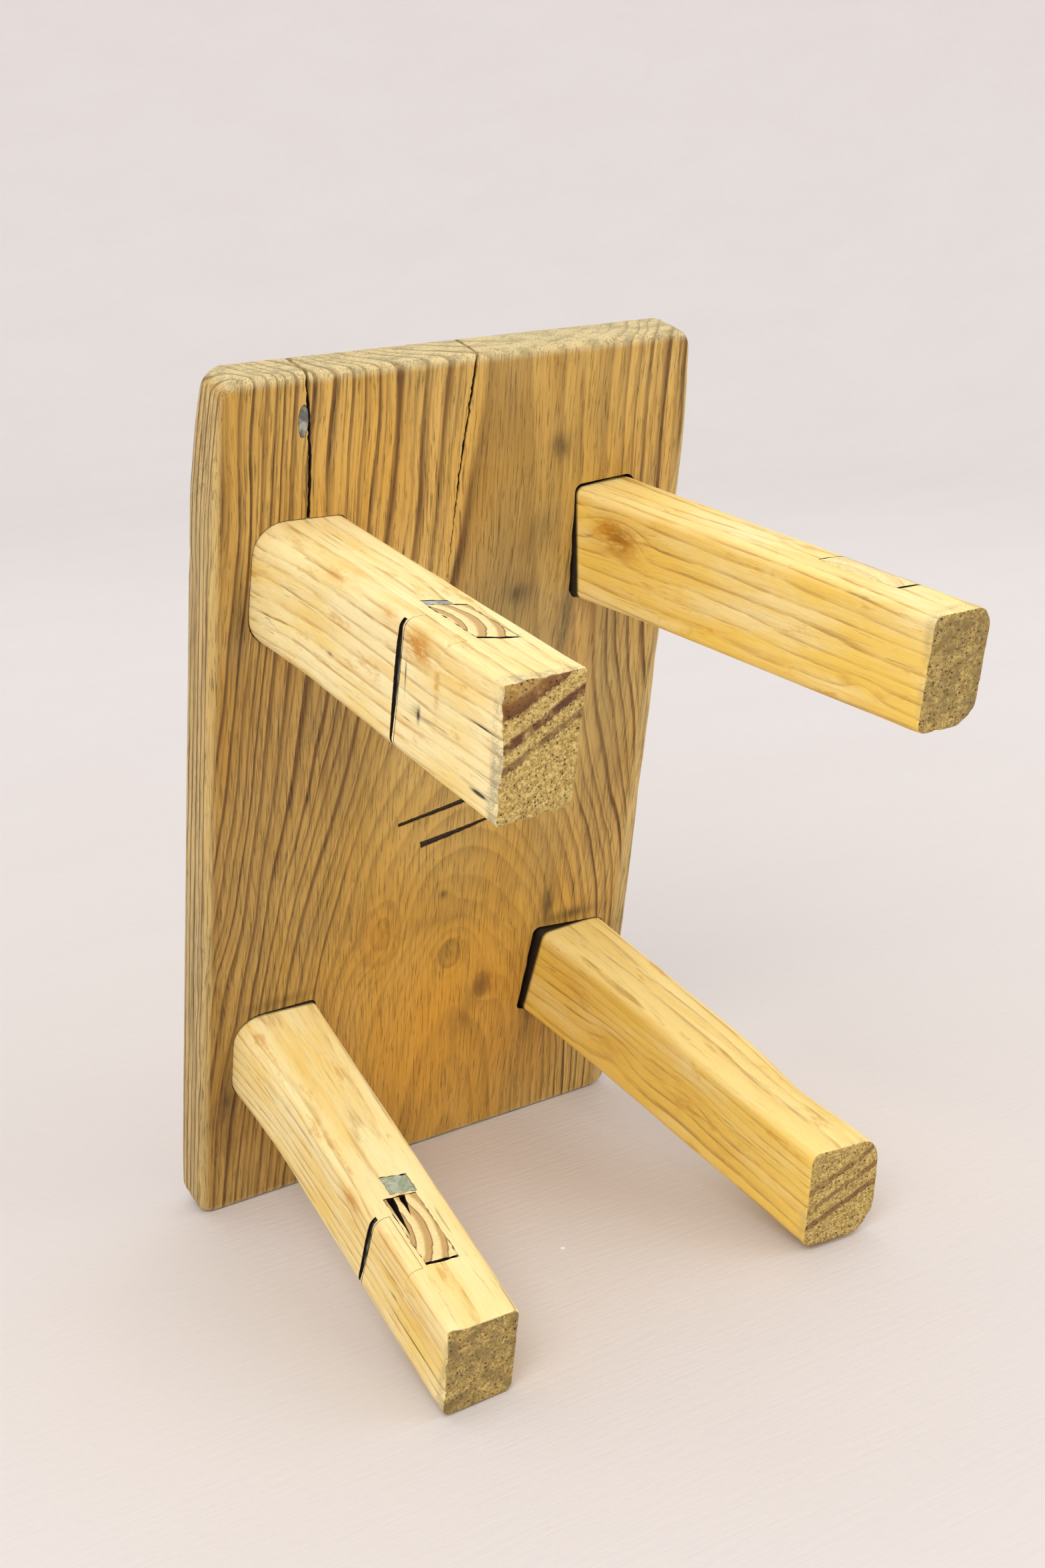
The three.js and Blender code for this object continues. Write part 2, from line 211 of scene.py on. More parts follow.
cracks = {
    "first": {
        "path": [(-65.2, 364), (-64.6, 352), (-63.4, 338), (-62.5, 324), (-62.3, 308), (-62.4, 303)],
        "breadth": (1.5, 1.1), "depth": 32.0, "wander": 0.5,
    },
    "second": {
        "path": [(2.6, 364), (1.2, 350), (0.2, 339), (-1.9, 312), (-2.7, 292), (-3.4, 274)],
        "breadth": (1.5, 0.2), "depth": 16.0, "wander": 0.6,
    },
    "upperScribe": {
        "path": [(-17, 169.5), (4, 172.6), (27, 176.4)],
        "breadth": (1.6, 3.0), "depth": 0.95, "wander": 0.3,
    },
    "lowerScribe": {
        "path": [(-6, 157.6), (12, 160.4), (31, 163.9)],
        "breadth": (3.2, 1.2), "depth": 0.95, "wander": 0.3,
    },
}


def addSocket(tree, name, kind, value=None):
    socket = tree.interface.new_socket(name, in_out="INPUT", socket_type=kind)
    if value is not None:
        socket.default_value = value
    return socket.identifier


def pathCutterTree():
    # a row of edges becomes a thin blade that follows it: spread to its breadth, then sunk
    tree = bpy.data.node_groups.new("pathCutter", "GeometryNodeTree")
    ids = {"Geometry": addSocket(tree, "Geometry", "NodeSocketGeometry")}
    ids["Depth"] = addSocket(tree, "Depth", "NodeSocketFloat", 10.0)
    ids["Wander"] = addSocket(tree, "Wander", "NodeSocketFloat", 0.3)
    ids["Seed"] = addSocket(tree, "Seed", "NodeSocketFloat", 1.0)
    ids["Material"] = addSocket(tree, "Material", "NodeSocketMaterial")
    tree.interface.new_socket("Geometry", in_out="OUTPUT", socket_type="NodeSocketGeometry")

    def add(kind, settings=None, sockets=None):
        made = tree.nodes.new(kind)
        for key, value in (settings or {}).items():
            setattr(made, key, value)
        for key, value in (sockets or {}).items():
            if isinstance(value, bpy.types.NodeSocket):
                tree.links.new(value, made.inputs[key])
            else:
                made.inputs[key].default_value = value
        return made

    def vectorMaths(operation, inputs):
        return add("ShaderNodeVectorMath", {"operation": operation}, inputs)

    given = add("NodeGroupInput").outputs
    breadth = add("GeometryNodeInputNamedAttribute", {"data_type": "FLOAT"}, {"Name": "breadth"})
    across = add("GeometryNodeInputNamedAttribute", {"data_type": "FLOAT_VECTOR"}, {"Name": "across"})
    half = add("ShaderNodeMath", {"operation": "MULTIPLY"}, {0: breadth.outputs[0], 1: -0.5})
    back = vectorMaths("SCALE", {0: across.outputs[0], "Scale": half.outputs[0]})
    over = vectorMaths("SCALE", {0: across.outputs[0], "Scale": breadth.outputs[0]})
    oneSide = add("GeometryNodeSetPosition", None, {"Geometry": given["Geometry"], "Offset": back.outputs[0]})
    ribbon = add("GeometryNodeExtrudeMesh", {"mode": "EDGES"},
                 {"Mesh": oneSide.outputs[0], "Offset": over.outputs[0], "Offset Scale": 1.0})
    down = add("ShaderNodeCombineXYZ", None, {"Y": given["Depth"]})
    sunk = add("GeometryNodeExtrudeMesh", {"mode": "FACES"},
               {"Mesh": ribbon.outputs[0], "Offset": down.outputs[0], "Offset Scale": 1.0,
                "Individual": False})
    lid = add("GeometryNodeFlipFaces", None, {"Mesh": ribbon.outputs[0]})
    both = add("GeometryNodeJoinGeometry")
    tree.links.new(sunk.outputs[0], both.inputs[0])
    tree.links.new(lid.outputs[0], both.inputs[0])
    closed = add("GeometryNodeMergeByDistance", None, {"Geometry": both.outputs[0], "Distance": 0.01})
    where = add("GeometryNodeInputPosition")
    rough = add("ShaderNodeTexNoise", {"noise_dimensions": "4D"},
                {"Vector": where.outputs[0], "W": given["Seed"], "Scale": 0.45, "Detail": 3.0})
    centred = vectorMaths("SUBTRACT", {0: rough.outputs["Color"], 1: (0.5, 0.5, 0.5)})
    moved = vectorMaths("SCALE", {0: centred.outputs[0], "Scale": given["Wander"]})
    flat = vectorMaths("MULTIPLY", {0: moved.outputs[0], 1: (4.0, 0.0, 4.0)})
    torn = add("GeometryNodeSetPosition", None, {"Geometry": closed.outputs[0], "Offset": flat.outputs[0]})
    real = add("GeometryNodeRealizeInstances", None, {"Geometry": torn.outputs[0]})
    painted = add("GeometryNodeSetMaterial", None,
                  {"Geometry": real.outputs[0], "Material": given["Material"]})
    add("NodeGroupOutput", None, {"Geometry": painted.outputs[0]})
    return tree, ids


def crackCutter(name, crack, tree, ids, seed):
    # resample the path every millimetre or so, with its breadth and sideways direction at each point
    knots = np.array(crack["path"], float)
    lengths = np.concatenate([[0], np.cumsum(np.hypot(*np.diff(knots, axis=0).T))])
    count = max(8, int(lengths[-1] / 1.4))
    along = np.linspace(0, lengths[-1], count)
    x, z = np.interp(along, lengths, knots[:, 0]), np.interp(along, lengths, knots[:, 1])
    direction = np.gradient(np.column_stack([x, z]), axis=0)
    direction /= np.linalg.norm(direction, axis=1)[:, None]
    across = np.column_stack([direction[:, 1], np.zeros(count), -direction[:, 0]])
    made = newObject(name, np.column_stack([x, np.full(count, -1.5), z]), [])
    mesh = made.data
    mesh.edges.add(count - 1)
    mesh.edges.foreach_set("vertices", np.column_stack([np.arange(count - 1), np.arange(1, count)]).ravel())
    first, last = crack["breadth"]
    breadth = mesh.attributes.new("breadth", "FLOAT", "POINT")
    breadth.data.foreach_set("value", np.linspace(first, last, count).astype(np.float32))
    sideways = mesh.attributes.new("across", "FLOAT_VECTOR", "POINT")
    sideways.data.foreach_set("vector", across.astype(np.float32).ravel())
    mesh.update()
    step = made.modifiers.new("pathCutter", "NODES")
    step.node_group = tree
    step[ids["Depth"]] = crack["depth"] + 1.5
    step[ids["Wander"]] = crack["wander"]
    step[ids["Seed"]] = float(seed)
    settle(made)
    recalculate(made)
    return made


def recalculate(thing):
    mesh = bmesh.new()
    mesh.from_mesh(thing.data)
    bmesh.ops.recalc_face_normals(mesh, faces=mesh.faces)
    mesh.to_mesh(thing.data)
    mesh.free()


# the seat

def gridLines(half, spacing, radius, cornerSteps):
    corner = np.linspace(0, radius, cornerSteps + 1)
    inner = np.linspace(-half + radius, half - radius, max(4, int(round(2 * (half - radius) / spacing))) + 1)
    return np.concatenate([-half + corner[:-1], inner, half - corner[:-1][::-1]])


def seatPlan(x, z, inset):
    # the rounded outline, drawn in by inset, with the flare and the tapered shoulders
    halfX, halfZ = seat["width"] / 2, seat["length"] / 2
    x = x * (1 - inset / halfX)
    z = z * (1 - inset / halfZ)
    radius = seat["cornerRadius"]
    a = np.abs(x) - (halfX - inset - radius)
    b = np.abs(z) - (halfZ - inset - radius)
    inCorner = (a > 0) & (b > 0)
    safe = np.where(inCorner, np.hypot(a, b), 1)
    scale = np.where(inCorner, np.maximum(a, b) / safe, 1)
    x = np.where(inCorner, np.sign(x) * (halfX - inset - radius + a * scale), x)
    z = np.where(inCorner, np.sign(z) * (halfZ - inset - radius + b * scale), z)
    z = z + halfZ
    nearTop = np.maximum(0, (z - seat["length"] + seat["taperLength"]) / seat["taperLength"])
    side = 2 * x / seat["width"]
    flare = np.where(side > 0, seat["lowerFlare"] * (1 - z / seat["length"]), 0)
    return x + side * (flare - seat["shoulderTaper"] * nearTop ** 2), z


def seatMesh():
    halfX, halfZ = seat["width"] / 2, seat["length"] / 2
    xs = gridLines(halfX, seat["spacing"], seat["cornerRadius"], seat["cornerSteps"])
    zs = gridLines(halfZ, seat["spacing"], seat["cornerRadius"], seat["cornerSteps"])
    nx, nz = len(xs), len(zs)
    gx, gz = np.meshgrid(xs, zs)
    rim = [(i, 0) for i in range(nx)] + [(nx - 1, j) for j in range(1, nz)]
    rim += [(i, nz - 1) for i in range(nx - 2, -1, -1)] + [(0, j) for j in range(nz - 2, 0, -1)]
    points, faces = [], []

    def addPoints(acrosses, alongs, inset, y):
        x, z = seatPlan(acrosses, alongs, inset)
        start = sum(len(p) for p in points)
        points.append(np.column_stack([x, np.full(len(x), y), z]))
        return start

    def addRim(inset, y):
        start = addPoints(np.array([xs[i] for i, j in rim]), np.array([zs[j] for i, j in rim]), inset, y)
        return [start + i for i in range(len(rim))]

    under = addPoints(gx.ravel(), gz.ravel(), seat["undersideRound"], 0.0)
    loops = [[under + j * nx + i for i, j in rim]]
    steps = seat["roundSteps"]
    for step in range(1, steps + 1):
        angle = math.pi / 2 * step / steps
        loops.append(addRim(seat["undersideRound"] * (1 - math.sin(angle)),
                            seat["undersideRound"] * (1 - math.cos(angle))))
    straight = seat["thickness"] - seat["undersideRound"] - seat["sittingSideRound"]
    for part in (0.25, 0.5, 0.75):
        loops.append(addRim(0, seat["undersideRound"] + straight * part))
    for step in range(steps):
        angle = math.pi / 2 * step / steps
        loops.append(addRim(seat["sittingSideRound"] * (1 - math.cos(angle)),
                            seat["thickness"] - seat["sittingSideRound"] * (1 - math.sin(angle))))
    top = addPoints(gx.ravel(), gz.ravel(), seat["sittingSideRound"], seat["thickness"])
    loops.append([top + j * nx + i for i, j in rim])
    for j in range(nz - 1):
        for i in range(nx - 1):
            a = j * nx + i
            faces.append((under + a, under + a + 1, under + a + nx + 1, under + a + nx))
            faces.append((top + a, top + a + nx, top + a + nx + 1, top + a + 1))
    for near, far in zip(loops, loops[1:]):
        for i in range(len(rim)):
            j = (i + 1) % len(rim)
            faces.append((near[i], far[i], far[j], near[j]))
    return wearSeat(np.vstack(points)), faces


def wearSeat(points):
    # the sitting side thins towards both ends, and every face is a little hollow in places
    thick, length, reach = seat["thickness"], seat["length"], seat["wearReach"]
    x, y, z = points.T
    depth = y / thick
    low = np.clip(1 - z / reach, 0, 1) ** 2 * seat["lowerEndWear"]
    high = np.clip(1 - (length - z) / reach, 0, 1) ** 2 * seat["upperEndWear"]
    hollow = grainNoise(points, (0.035, 0.035, 0.012), 1) + 0.4 * grainNoise(points, (0.12, 0.1, 0.03), 2)
    hollow = np.clip(0.5 + 0.5 * hollow, 0, 1) * seat["hollows"]
    y = y - depth ** 2 * (low + high) + np.where(depth < 0.5, hollow, -hollow)
    nearSide = np.clip((np.abs(x) - seat["width"] / 2 + 6) / 6, 0, 1)
    nick = np.clip(grainNoise(points, (0.05, 0.2, 0.045), 5), 0, 1) * 1.1 * nearSide
    return np.column_stack([x - np.sign(x) * nick, y, z])


# the legs

def mix(a, b, t):
    return a + (b - a) * t


def roundedOutline(width, height, leftRadius, rightRadius):
    # anticlockwise from the lower right, seen from the side that the legs point to
    corners = [(1, -1, rightRadius, -90), (1, 1, rightRadius, 0), (-1, 1, leftRadius, 90),
               (-1, -1, leftRadius, 180)]
    sideSteps = [legMesh["upSteps"], legMesh["acrossSteps"]] * 2
    arcs = []
    for sideX, sideZ, radius, start in corners:
        angles = np.radians(start + 90 * np.linspace(0, 1, legMesh["cornerSteps"] + 1))
        centre = np.array([sideX * (width / 2 - radius), sideZ * (height / 2 - radius)])
        arcs.append(centre + radius * np.column_stack([np.cos(angles), np.sin(angles)]))
    made = []
    for index, arc in enumerate(arcs):
        following = arcs[(index + 1) % 4][0]
        shares = np.linspace(0, 1, sideSteps[index] + 1)[1:-1, None]
        made += [arc, arc[-1] + (following - arc[-1]) * shares]
    return np.vstack(made)


def pointOnLeg(leg, along, x, z):
    turn = math.radians(mix(leg["rootTurn"], leg["footTurn"], along))
    c, s = math.cos(turn), math.sin(turn)
    return (
        mix(leg["root"][0], leg["foot"][0], along) + x * c - z * s,
        -leg["length"] * along,
        mix(leg["root"][1], leg["foot"][1], along) + x * s + z * c,
    )


def sectionSize(leg, along):
    return [mix(a, b, along) for a, b in zip(leg["rootSize"], leg["footSize"])]


def legSection(leg, along, spread):
    held = max(0, along)
    width, height = sectionSize(leg, along)
    swell = leg["swell"] * max(0, 1 - held / legMesh["swellFade"]) ** 2
    left = mix(*leg["leftRound"], math.sqrt(held))
    right = mix(*leg["rightRound"], held)
    at, reach, depth = leg["waist"]
    dip = depth * math.exp(-((along - at) / reach) ** 2)
    x, z = roundedOutline(width + swell + 2 * spread, height + 2 * spread, left, right).T
    corner = np.maximum(0, 2 * x / width) * np.maximum(0, 2 * z / height)
    px, py, pz = pointOnLeg(leg, along, x - swell / 2, z - dip * corner)
    return np.column_stack([px, np.full(len(x), py), pz])


def footSection(leg, inset, back):
    made = legSection(leg, 1 - back / leg["length"], -inset)
    slope = leg["cut"][0] * (made[:, 0] - leg["foot"][0]) + leg["cut"][1] * (made[:, 2] - leg["foot"][1])
    made[:, 1] += slope
    return made


def legRows(leg):
    length = leg["length"]
    back = -(seat["thickness"] - legMesh["flush"]) / length
    stations = np.linspace(back, 0.9, int((0.9 - back) * length / legMesh["stationGap"]))
    rows = [legSection(leg, a, 0) for a in stations]
    # the last stretch takes up the slope of the sawn end little by little
    for share in np.linspace(0, 1, 9)[1:]:
        plain = legSection(leg, 0.9 + 0.1 * share, 0)
        sawn = footSection(leg, 0, 1.2 if share == 1 else 0.1 * length * (1 - share))
        plain[:, 1] = mix(plain[:, 1], sawn[:, 1], share)
        rows.append(plain if share < 1 else sawn)
    for angle in (30, 60, 90):
        turn = math.radians(angle)
        rows.append(footSection(leg, legMesh["edge"] * (1 - math.cos(turn)), 1.2 * (1 - math.sin(turn))))
    return rows


def wornRows(leg, rows, seed):
    # shallow tool marks along the faces, and small chips round the foot; wood is only ever taken off
    made = []
    for row in rows:
        centre = row.mean(0)
        out = row - centre
        out[:, 1] = 0
        out /= np.linalg.norm(out, axis=1)[:, None]
        marks = 0.5 + 0.5 * grainNoise(row, (0.09, 0.03, 0.09), seed)
        marks += 0.35 * grainNoise(row, (0.3, 0.05, 0.3), seed + 1)
        depth = legMesh["toolMarks"] * np.clip(marks, 0, 1.3) * np.clip(-row[:, 1] / 6, 0, 1)
        nearFoot = np.clip(1 - (leg["length"] + row[:, 1]) / legMesh["chipReach"], 0, 1)
        chips = np.clip(grainNoise(row, (0.28, 0.2, 0.28), seed + 2) - 0.05, 0, 1)
        depth += legMesh["chip"] * chips * nearFoot ** 2
        made.append(row - out * depth[:, None])
    return made


def breakFoot(name, leg, points):
    # pushes the end back towards the root where wood was lost
    px, pz = points[:, 0] - leg["foot"][0], points[:, 2] - leg["foot"][1]
    turn = math.radians(leg["footTurn"])
    across = px * math.cos(turn) + pz * math.sin(turn) + leg["footSize"][0] / 2
    down = leg["footSize"][1] / 2 - (pz * math.cos(turn) - px * math.sin(turn))
    nearEnd = np.clip(1 - (leg["length"] + points[:, 1]) / 9, 0, 1)
    torn = 0.55 + 0.9 * np.abs(grainNoise(points, (0.45, 0.1, 0.45), 7))
    for (atAcross, atDown), (reachAcross, reachDown), depth in footLosses[name]:
        near = np.exp(-((across - atAcross) / reachAcross) ** 2 - ((down - atDown) / reachDown) ** 2)
        points[:, 1] += depth * near * torn * nearEnd
    return points


def legBlank(name, leg, seed):
    points, faces = skinRows(wornRows(leg, legRows(leg), seed), legMesh["capRings"], 0.35)
    points = breakFoot(name, leg, points)
    made = newObject(name + "_wood", points, faces)
    recalculate(made)
    return made


def mortise(leg, aside):
    # the hole the leg stands in, and the wider gap left where it was cut short of the leg
    alongs = [-(seat["thickness"] + 4) / leg["length"], 0, 4 / leg["length"]]
    rows = [legSection(leg, a, legMesh["fit"]) for a in alongs]
    if aside:
        beside, above = leg["gap"]
        shift = np.array((-beside, 0, above))
        rows = [r + shift for r in rows]
        for row in rows:
            row[:, 0] += 0.6 * grainNoise(row, (0.13, 0.02, 0.13), 8)
    points, faces = skinRows(rows, 2, 0)
    made = newObject("mortise", points, faces)
    recalculate(made)
    return made


def faceFrame(leg, face, down, across):
    # x runs down the leg and z points out of the wood
    def spot(distance, side):
        along = distance / leg["length"]
        width, height = sectionSize(leg, along)
        if face == "upper":
            return Vector(pointOnLeg(leg, along, side - width / 2, height / 2))
        return Vector(pointOnLeg(leg, along, -width / 2, side - height / 2))

    origin = spot(down, across)
    xAxis = (spot(down + 1, across) - origin).normalized()
    zAxis = xAxis.cross(spot(down, across + 1) - origin).normalized()
    yAxis = zAxis.cross(xAxis)
    made = Matrix((xAxis, yAxis, zAxis)).transposed().to_4x4()
    made.translation = origin
    return made


def slanted(long, wide, skew):
    end, side, slip = long / 2, wide / 2, skew / 2
    return [(-end - slip, -side), (end - slip, -side), (end + slip, side), (-end + slip, side)]


# Pieces let into the upper faces. near and far are distances down the leg, left and right are
# distances across the face, and endGap is the split left at the far end.
letIn = {
    "old_tenon_upper_left": {
        "leg": "leg_upper_left", "near": 98.1, "far": 129.8, "left": 12.2, "right": 24.5,
        "skew": 4, "endGap": 1.5, "depth": 20, "rough": 0.55, "wood": "stripes",
    },
    "old_tenon_upper_right": {
        "leg": "leg_upper_right", "near": 106, "far": 140.2, "left": 11.5, "right": 21.2,
        "skew": 2.7, "endGap": 1.1, "depth": 20, "rough": 0.35, "wood": "plain",
    },
    "old_tenon_lower_left": {
        "leg": "leg_lower_left", "near": 107.3, "far": 139.4, "left": 7.7, "right": 20.4,
        "skew": 0.6, "endGap": 0.9, "depth": 20, "rough": 0.4, "wood": "stripes",
        "breaks": [((8.6, 12), (126, 8.8)), ((13.4, 16.6), (117.5, 13.6))],
    },
    "filler_upper_left": {
        "leg": "leg_upper_left", "near": 93.4, "far": 97, "left": 12.4, "right": 20.4,
        "skew": 2.6, "endGap": 0, "depth": 4, "rough": 0.5, "wood": "filler",
    },
    "filler_lower_left": {
        "leg": "leg_lower_left", "near": 97.5, "far": 106, "left": 11.3, "right": 21.3,
        "skew": 1.5, "endGap": 0, "depth": 5, "rough": 0.5, "wood": "filler",
    },
}

# Pieces let into the left faces, right across: slant is how far they lean down the leg.
acrossLeft = {
    "old_lap_upper_left": {"leg": "leg_upper_left", "near": 105.2, "far": 131, "depth": 7, "slant": 4.5,
                           "sunk": 0.1},
    "old_lap_lower_left": {"leg": "leg_lower_left", "near": 112, "far": 138, "depth": 5.5, "slant": 3.2,
                           "sunk": 0.1},
    "slot_fill_upper_left": {"leg": "leg_upper_left", "near": 101.7, "far": 104.9, "depth": 9,
                             "slant": 4.5, "sunk": 0.9},
    "slot_fill_lower_left": {"leg": "leg_lower_left", "near": 109, "far": 111.7, "depth": 6.5,
                             "slant": 3.2, "sunk": 0.8},
}

# Wood lost round the feet: a point on the end measured from its upper left corner, the reach across
# and down, and how deep the end is broken back there.
footLosses = {
    "leg_upper_left": [((0, 8), (2.2, 9), 4.0), ((9, 0), (9, 1.8), 2.6), ((0, 34), (2.0, 3), 3.0),
                       ((20, 0), (7, 1.2), 1.2)],
    "leg_upper_right": [((24, 44), (5, 5), 1.8), ((0, 20), (1.5, 8), 1.0)],
    "leg_lower_right": [((33, 3), (5, 5), 2.2), ((33, 40), (6, 6), 2.4), ((0, 40), (3, 5), 1.2)],
    "leg_lower_left": [((0, 2), (5, 4), 2.2), ((0, 15.5), (2, 1.2), 2.5), ((15, 0), (10, 1.5), 1.0)],
}

wedge = {"thickness": 3.0, "tipThickness": 0.9, "depth": 15.0, "sideMargin": 2.5}


def wedgeSolid(name, leg, growth, proud):
    cx, _, cz = pointOnLeg(leg, -seat["thickness"] / leg["length"], 0, 0)
    reach = leg["rootSize"][0] / 2 - wedge["sideMargin"] + growth
    mouth, tip = wedge["thickness"] / 2 + growth, wedge["tipThickness"] / 2 + growth
    outline = [(-mouth, proud), (-tip, -wedge["depth"] - growth), (tip, -wedge["depth"] - growth),
               (mouth, proud)]
    matrix = Matrix.Translation((cx, seat["thickness"], cz))
    matrix = matrix @ Matrix.Rotation(math.pi / 2 - math.radians(leg["rootTurn"]), 4, "Y")
    made = prism(name, roughen(outline, 1.2, 0.08, 4), -reach, reach, matrix)
    recalculate(made)
    return made


# materials

class Wire:
    def __init__(self, sheet, socket):
        self.sheet = sheet
        self.socket = socket

    def maths(self, operation, first, second):
        return self.sheet.node("ShaderNodeMath", {"operation": operation}, {0: first, 1: second})

    def __add__(self, other):
        return self.maths("ADD", self, other)

    def __sub__(self, other):
        return self.maths("SUBTRACT", self, other)

    def __rsub__(self, other):
        return self.maths("SUBTRACT", other, self)

    def __mul__(self, other):
        return self.maths("MULTIPLY", self, other)

    def __truediv__(self, other):
        return self.maths("DIVIDE", self, other)

    def __pow__(self, other):
        return self.maths("POWER", self, other)

    __radd__ = __add__
    __rmul__ = __mul__


class Sheet:
    # one material, with its pattern's millimetre coordinates in the piece's own frame
    def __init__(self, name, pieceFrame):
        self.material = bpy.data.materials.new(name)
        self.material.use_nodes = True
        self.tree = self.material.node_tree
        self.tree.nodes.clear()
        back = (place @ pieceFrame).inverted()
        where, turn, scale = back.decompose()
        objectPlace = self.node("ShaderNodeTexCoord", output="Object")
        self.place = self.node("ShaderNodeMapping", {"vector_type": "POINT"}, {
            "Vector": objectPlace, "Location": where, "Rotation": turn.to_euler(), "Scale": scale})
        parts = self.node("ShaderNodeSeparateXYZ", None, {0: self.place}).socket.node
        self.x, self.y, self.z = (Wire(self, s) for s in parts.outputs)

    def node(self, kind, settings=None, sockets=None, output=0):
        made = self.tree.nodes.new(kind)
        for key, value in (settings or {}).items():
            setattr(made, key, value)
        for key, value in (sockets or {}).items():
            if isinstance(value, Wire):
                self.tree.links.new(value.socket, made.inputs[key])
            else:
                made.inputs[key].default_value = value
        return Wire(self, made.outputs[output]) if len(made.outputs) else None

    def apply(self, operation, value):
        return self.node("ShaderNodeMath", {"operation": operation}, {0: value})

    def clamp(self, value, low=0.0, high=1.0):
        return self.node("ShaderNodeClamp", None, {0: value, 1: low, 2: high})

    def step(self, value, start, end):
        # 0 before start and 1 after end, with a smooth change between
        return self.node("ShaderNodeMapRange", {"interpolation_type": "SMOOTHSTEP"},
                         {"Value": value, "From Min": start, "From Max": end})

    def band(self, value, rise, full, fall, gone):
        # 1 from full to fall, and 0 before rise and after gone
        return self.step(value, rise, full) * (1 - self.step(value, fall, gone))

    def noise(self, scale, detail=2.0, roughness=0.5, source=None, shift=(0, 0, 0)):
        stretched = self.node("ShaderNodeVectorMath", {"operation": "MULTIPLY_ADD"},
                              {0: source or self.place, 1: scale, 2: shift})
        return self.node("ShaderNodeTexNoise", None, {
            "Vector": stretched, "Scale": 1.0, "Detail": detail, "Roughness": roughness})

    def pits(self, scale):
        stretched = self.node("ShaderNodeVectorMath", {"operation": "MULTIPLY"}, {0: self.place, 1: scale})
        return self.node("ShaderNodeTexVoronoi", None,
                         {"Vector": stretched, "Scale": 1.0}, "Distance")

    def vector(self, x, y, z):
        return self.node("ShaderNodeCombineXYZ", None, {0: x, 1: y, 2: z})

    def blend(self, factor, first, second):
        made = self.tree.nodes.new("ShaderNodeMix")
        made.data_type = "RGBA"
        for index, value in ((0, factor), (6, first), (7, second)):
            if isinstance(value, Wire):
                self.tree.links.new(value.socket, made.inputs[index])
            elif index == 0:
                made.inputs[index].default_value = value
            else:
                made.inputs[index].default_value = (*value, 1)
        return Wire(self, made.outputs[2])

    def layers(self, colour, *coats):
        # lays each colour over what is there by its amount
        for amount, tint in coats:
            colour = self.blend(amount, colour, tint)
        return colour

    def spot(self, at, reach, axes):
        # 1 at a place on one face, fading out over reach; axes picks the two coordinates used
        u, v = axes
        du = (u - at[0]) / reach[0]
        dv = (v - at[1]) / reach[1]
        return self.apply("EXPONENT", (du * du + dv * dv) * -1.0)

    def facing(self, pieceFrame, axis):
        # how squarely a surface looks along an axis of the piece's frame
        along = (place.to_3x3() @ pieceFrame.to_3x3() @ Vector(axis)).normalized()
        normal = self.node("ShaderNodeNewGeometry", output="Normal")
        return self.node("ShaderNodeVectorMath", {"operation": "DOT_PRODUCT"}, {0: normal, 1: along}, "Value")

    def finish(self, colour, roughness, height, bumpDepth):
        bump = self.node("ShaderNodeBump", None, {"Height": height, "Distance": bumpDepth, "Strength": 1.0})
        shader = self.node("ShaderNodeBsdfPrincipled", None, {
            "Base Color": colour, "Roughness": roughness, "Normal": bump, "IOR": 1.45})
        self.node("ShaderNodeOutputMaterial", None, {"Surface": shader})
        return self.material


def linear(red, green, blue):
    return tuple(((c / 255 + 0.055) / 1.055) ** 2.4 if c > 10 else c / 3294.6 for c in (red, green, blue))


seatLook = {
    "gold": linear(210, 165, 74), "pale": linear(226, 190, 110), "line": linear(108, 72, 26),
    "grey": linear(150, 132, 84), "dark": linear(58, 46, 28), "amber": linear(202, 138, 44),
    "honey": linear(232, 168, 50), "mould": linear(150, 138, 96),
    # the side colour on the next line is lighter than the front: partly the long edges' own colour, partly
    # painted light
    "side": linear(212, 190, 132), "wornEnd": linear(230, 214, 162), "brown": linear(144, 98, 30),
    # the first colour on the next line is painted shade, for the walls of the mortises and cracks
    "recessShade": linear(50, 36, 22), "sideRingGap": 3.3,
    "ringGap": 3.8, "centre": 16.0, "depthMiddle": 52.0, "depthSwing": 30.0,
    "turnsAt": 130.0, "turnsOver": 90.0,
}

# x, z, reach across, reach along, then how far it pushes the rings aside
swirls = [(-23, 118, 15, 21, 8), (13, 100, 9, 12, -6), (30, 79, 8, 13, 6), (7, 131, 6, 9, -3)]
# x, z, reach across, reach along, strength of the dark marks: some are marks round the knots, and the strips
# along the leg roots are painted shade
marksAndRootShade = [
    (42.3, 320.3, 4.5, 5.5, 0.8), (37.9, 287.8, 6, 8, 0.45), (29.1, 262.2, 5, 4, 0.7), (12.5, 100, 6, 5, 0.4),
    (6.6, 131, 1.6, 2, 0.9), (60, 112, 3, 8, 1.0), (-88, 60, 2.6, 20, 0.7), (-88, 272, 2.4, 20, 0.7),
    (55, 64, 3, 20, 0.8), (30, 79, 3.5, 6, 0.75), (24, 66, 3, 11, 0.45), (52, 244, 3.5, 20, 0.8),
    (72, 103, 14, 3, 0.75), (-66, 100, 15, 2.5, 0.5), (18, 55, 3, 14, 0.35), (8, 118, 14, 4, 0.25),
]
# x, z, reach across, reach along, strength and colour of the broad shadings
shades = [
    (28, 285, 28, 75, 0.42, "grey"), (-98, 150, 36, 170, 0.55, "brown"), (-30, 205, 16, 40, 0.3, "pale"),
    (-62, 30, 30, 60, 0.4, "brown"), (86, 160, 16, 90, 0.3, "brown"), (16, 122, 26, 24, 0.4, "grey"),
    (14, 62, 60, 70, 0.9, "honey"), (-30, 310, 60, 40, 0.35, "honey"), (-60, 190, 30, 60, 0.35, "brown"),
    (-2, 160, 26, 18, 0.3, "pale"),
]
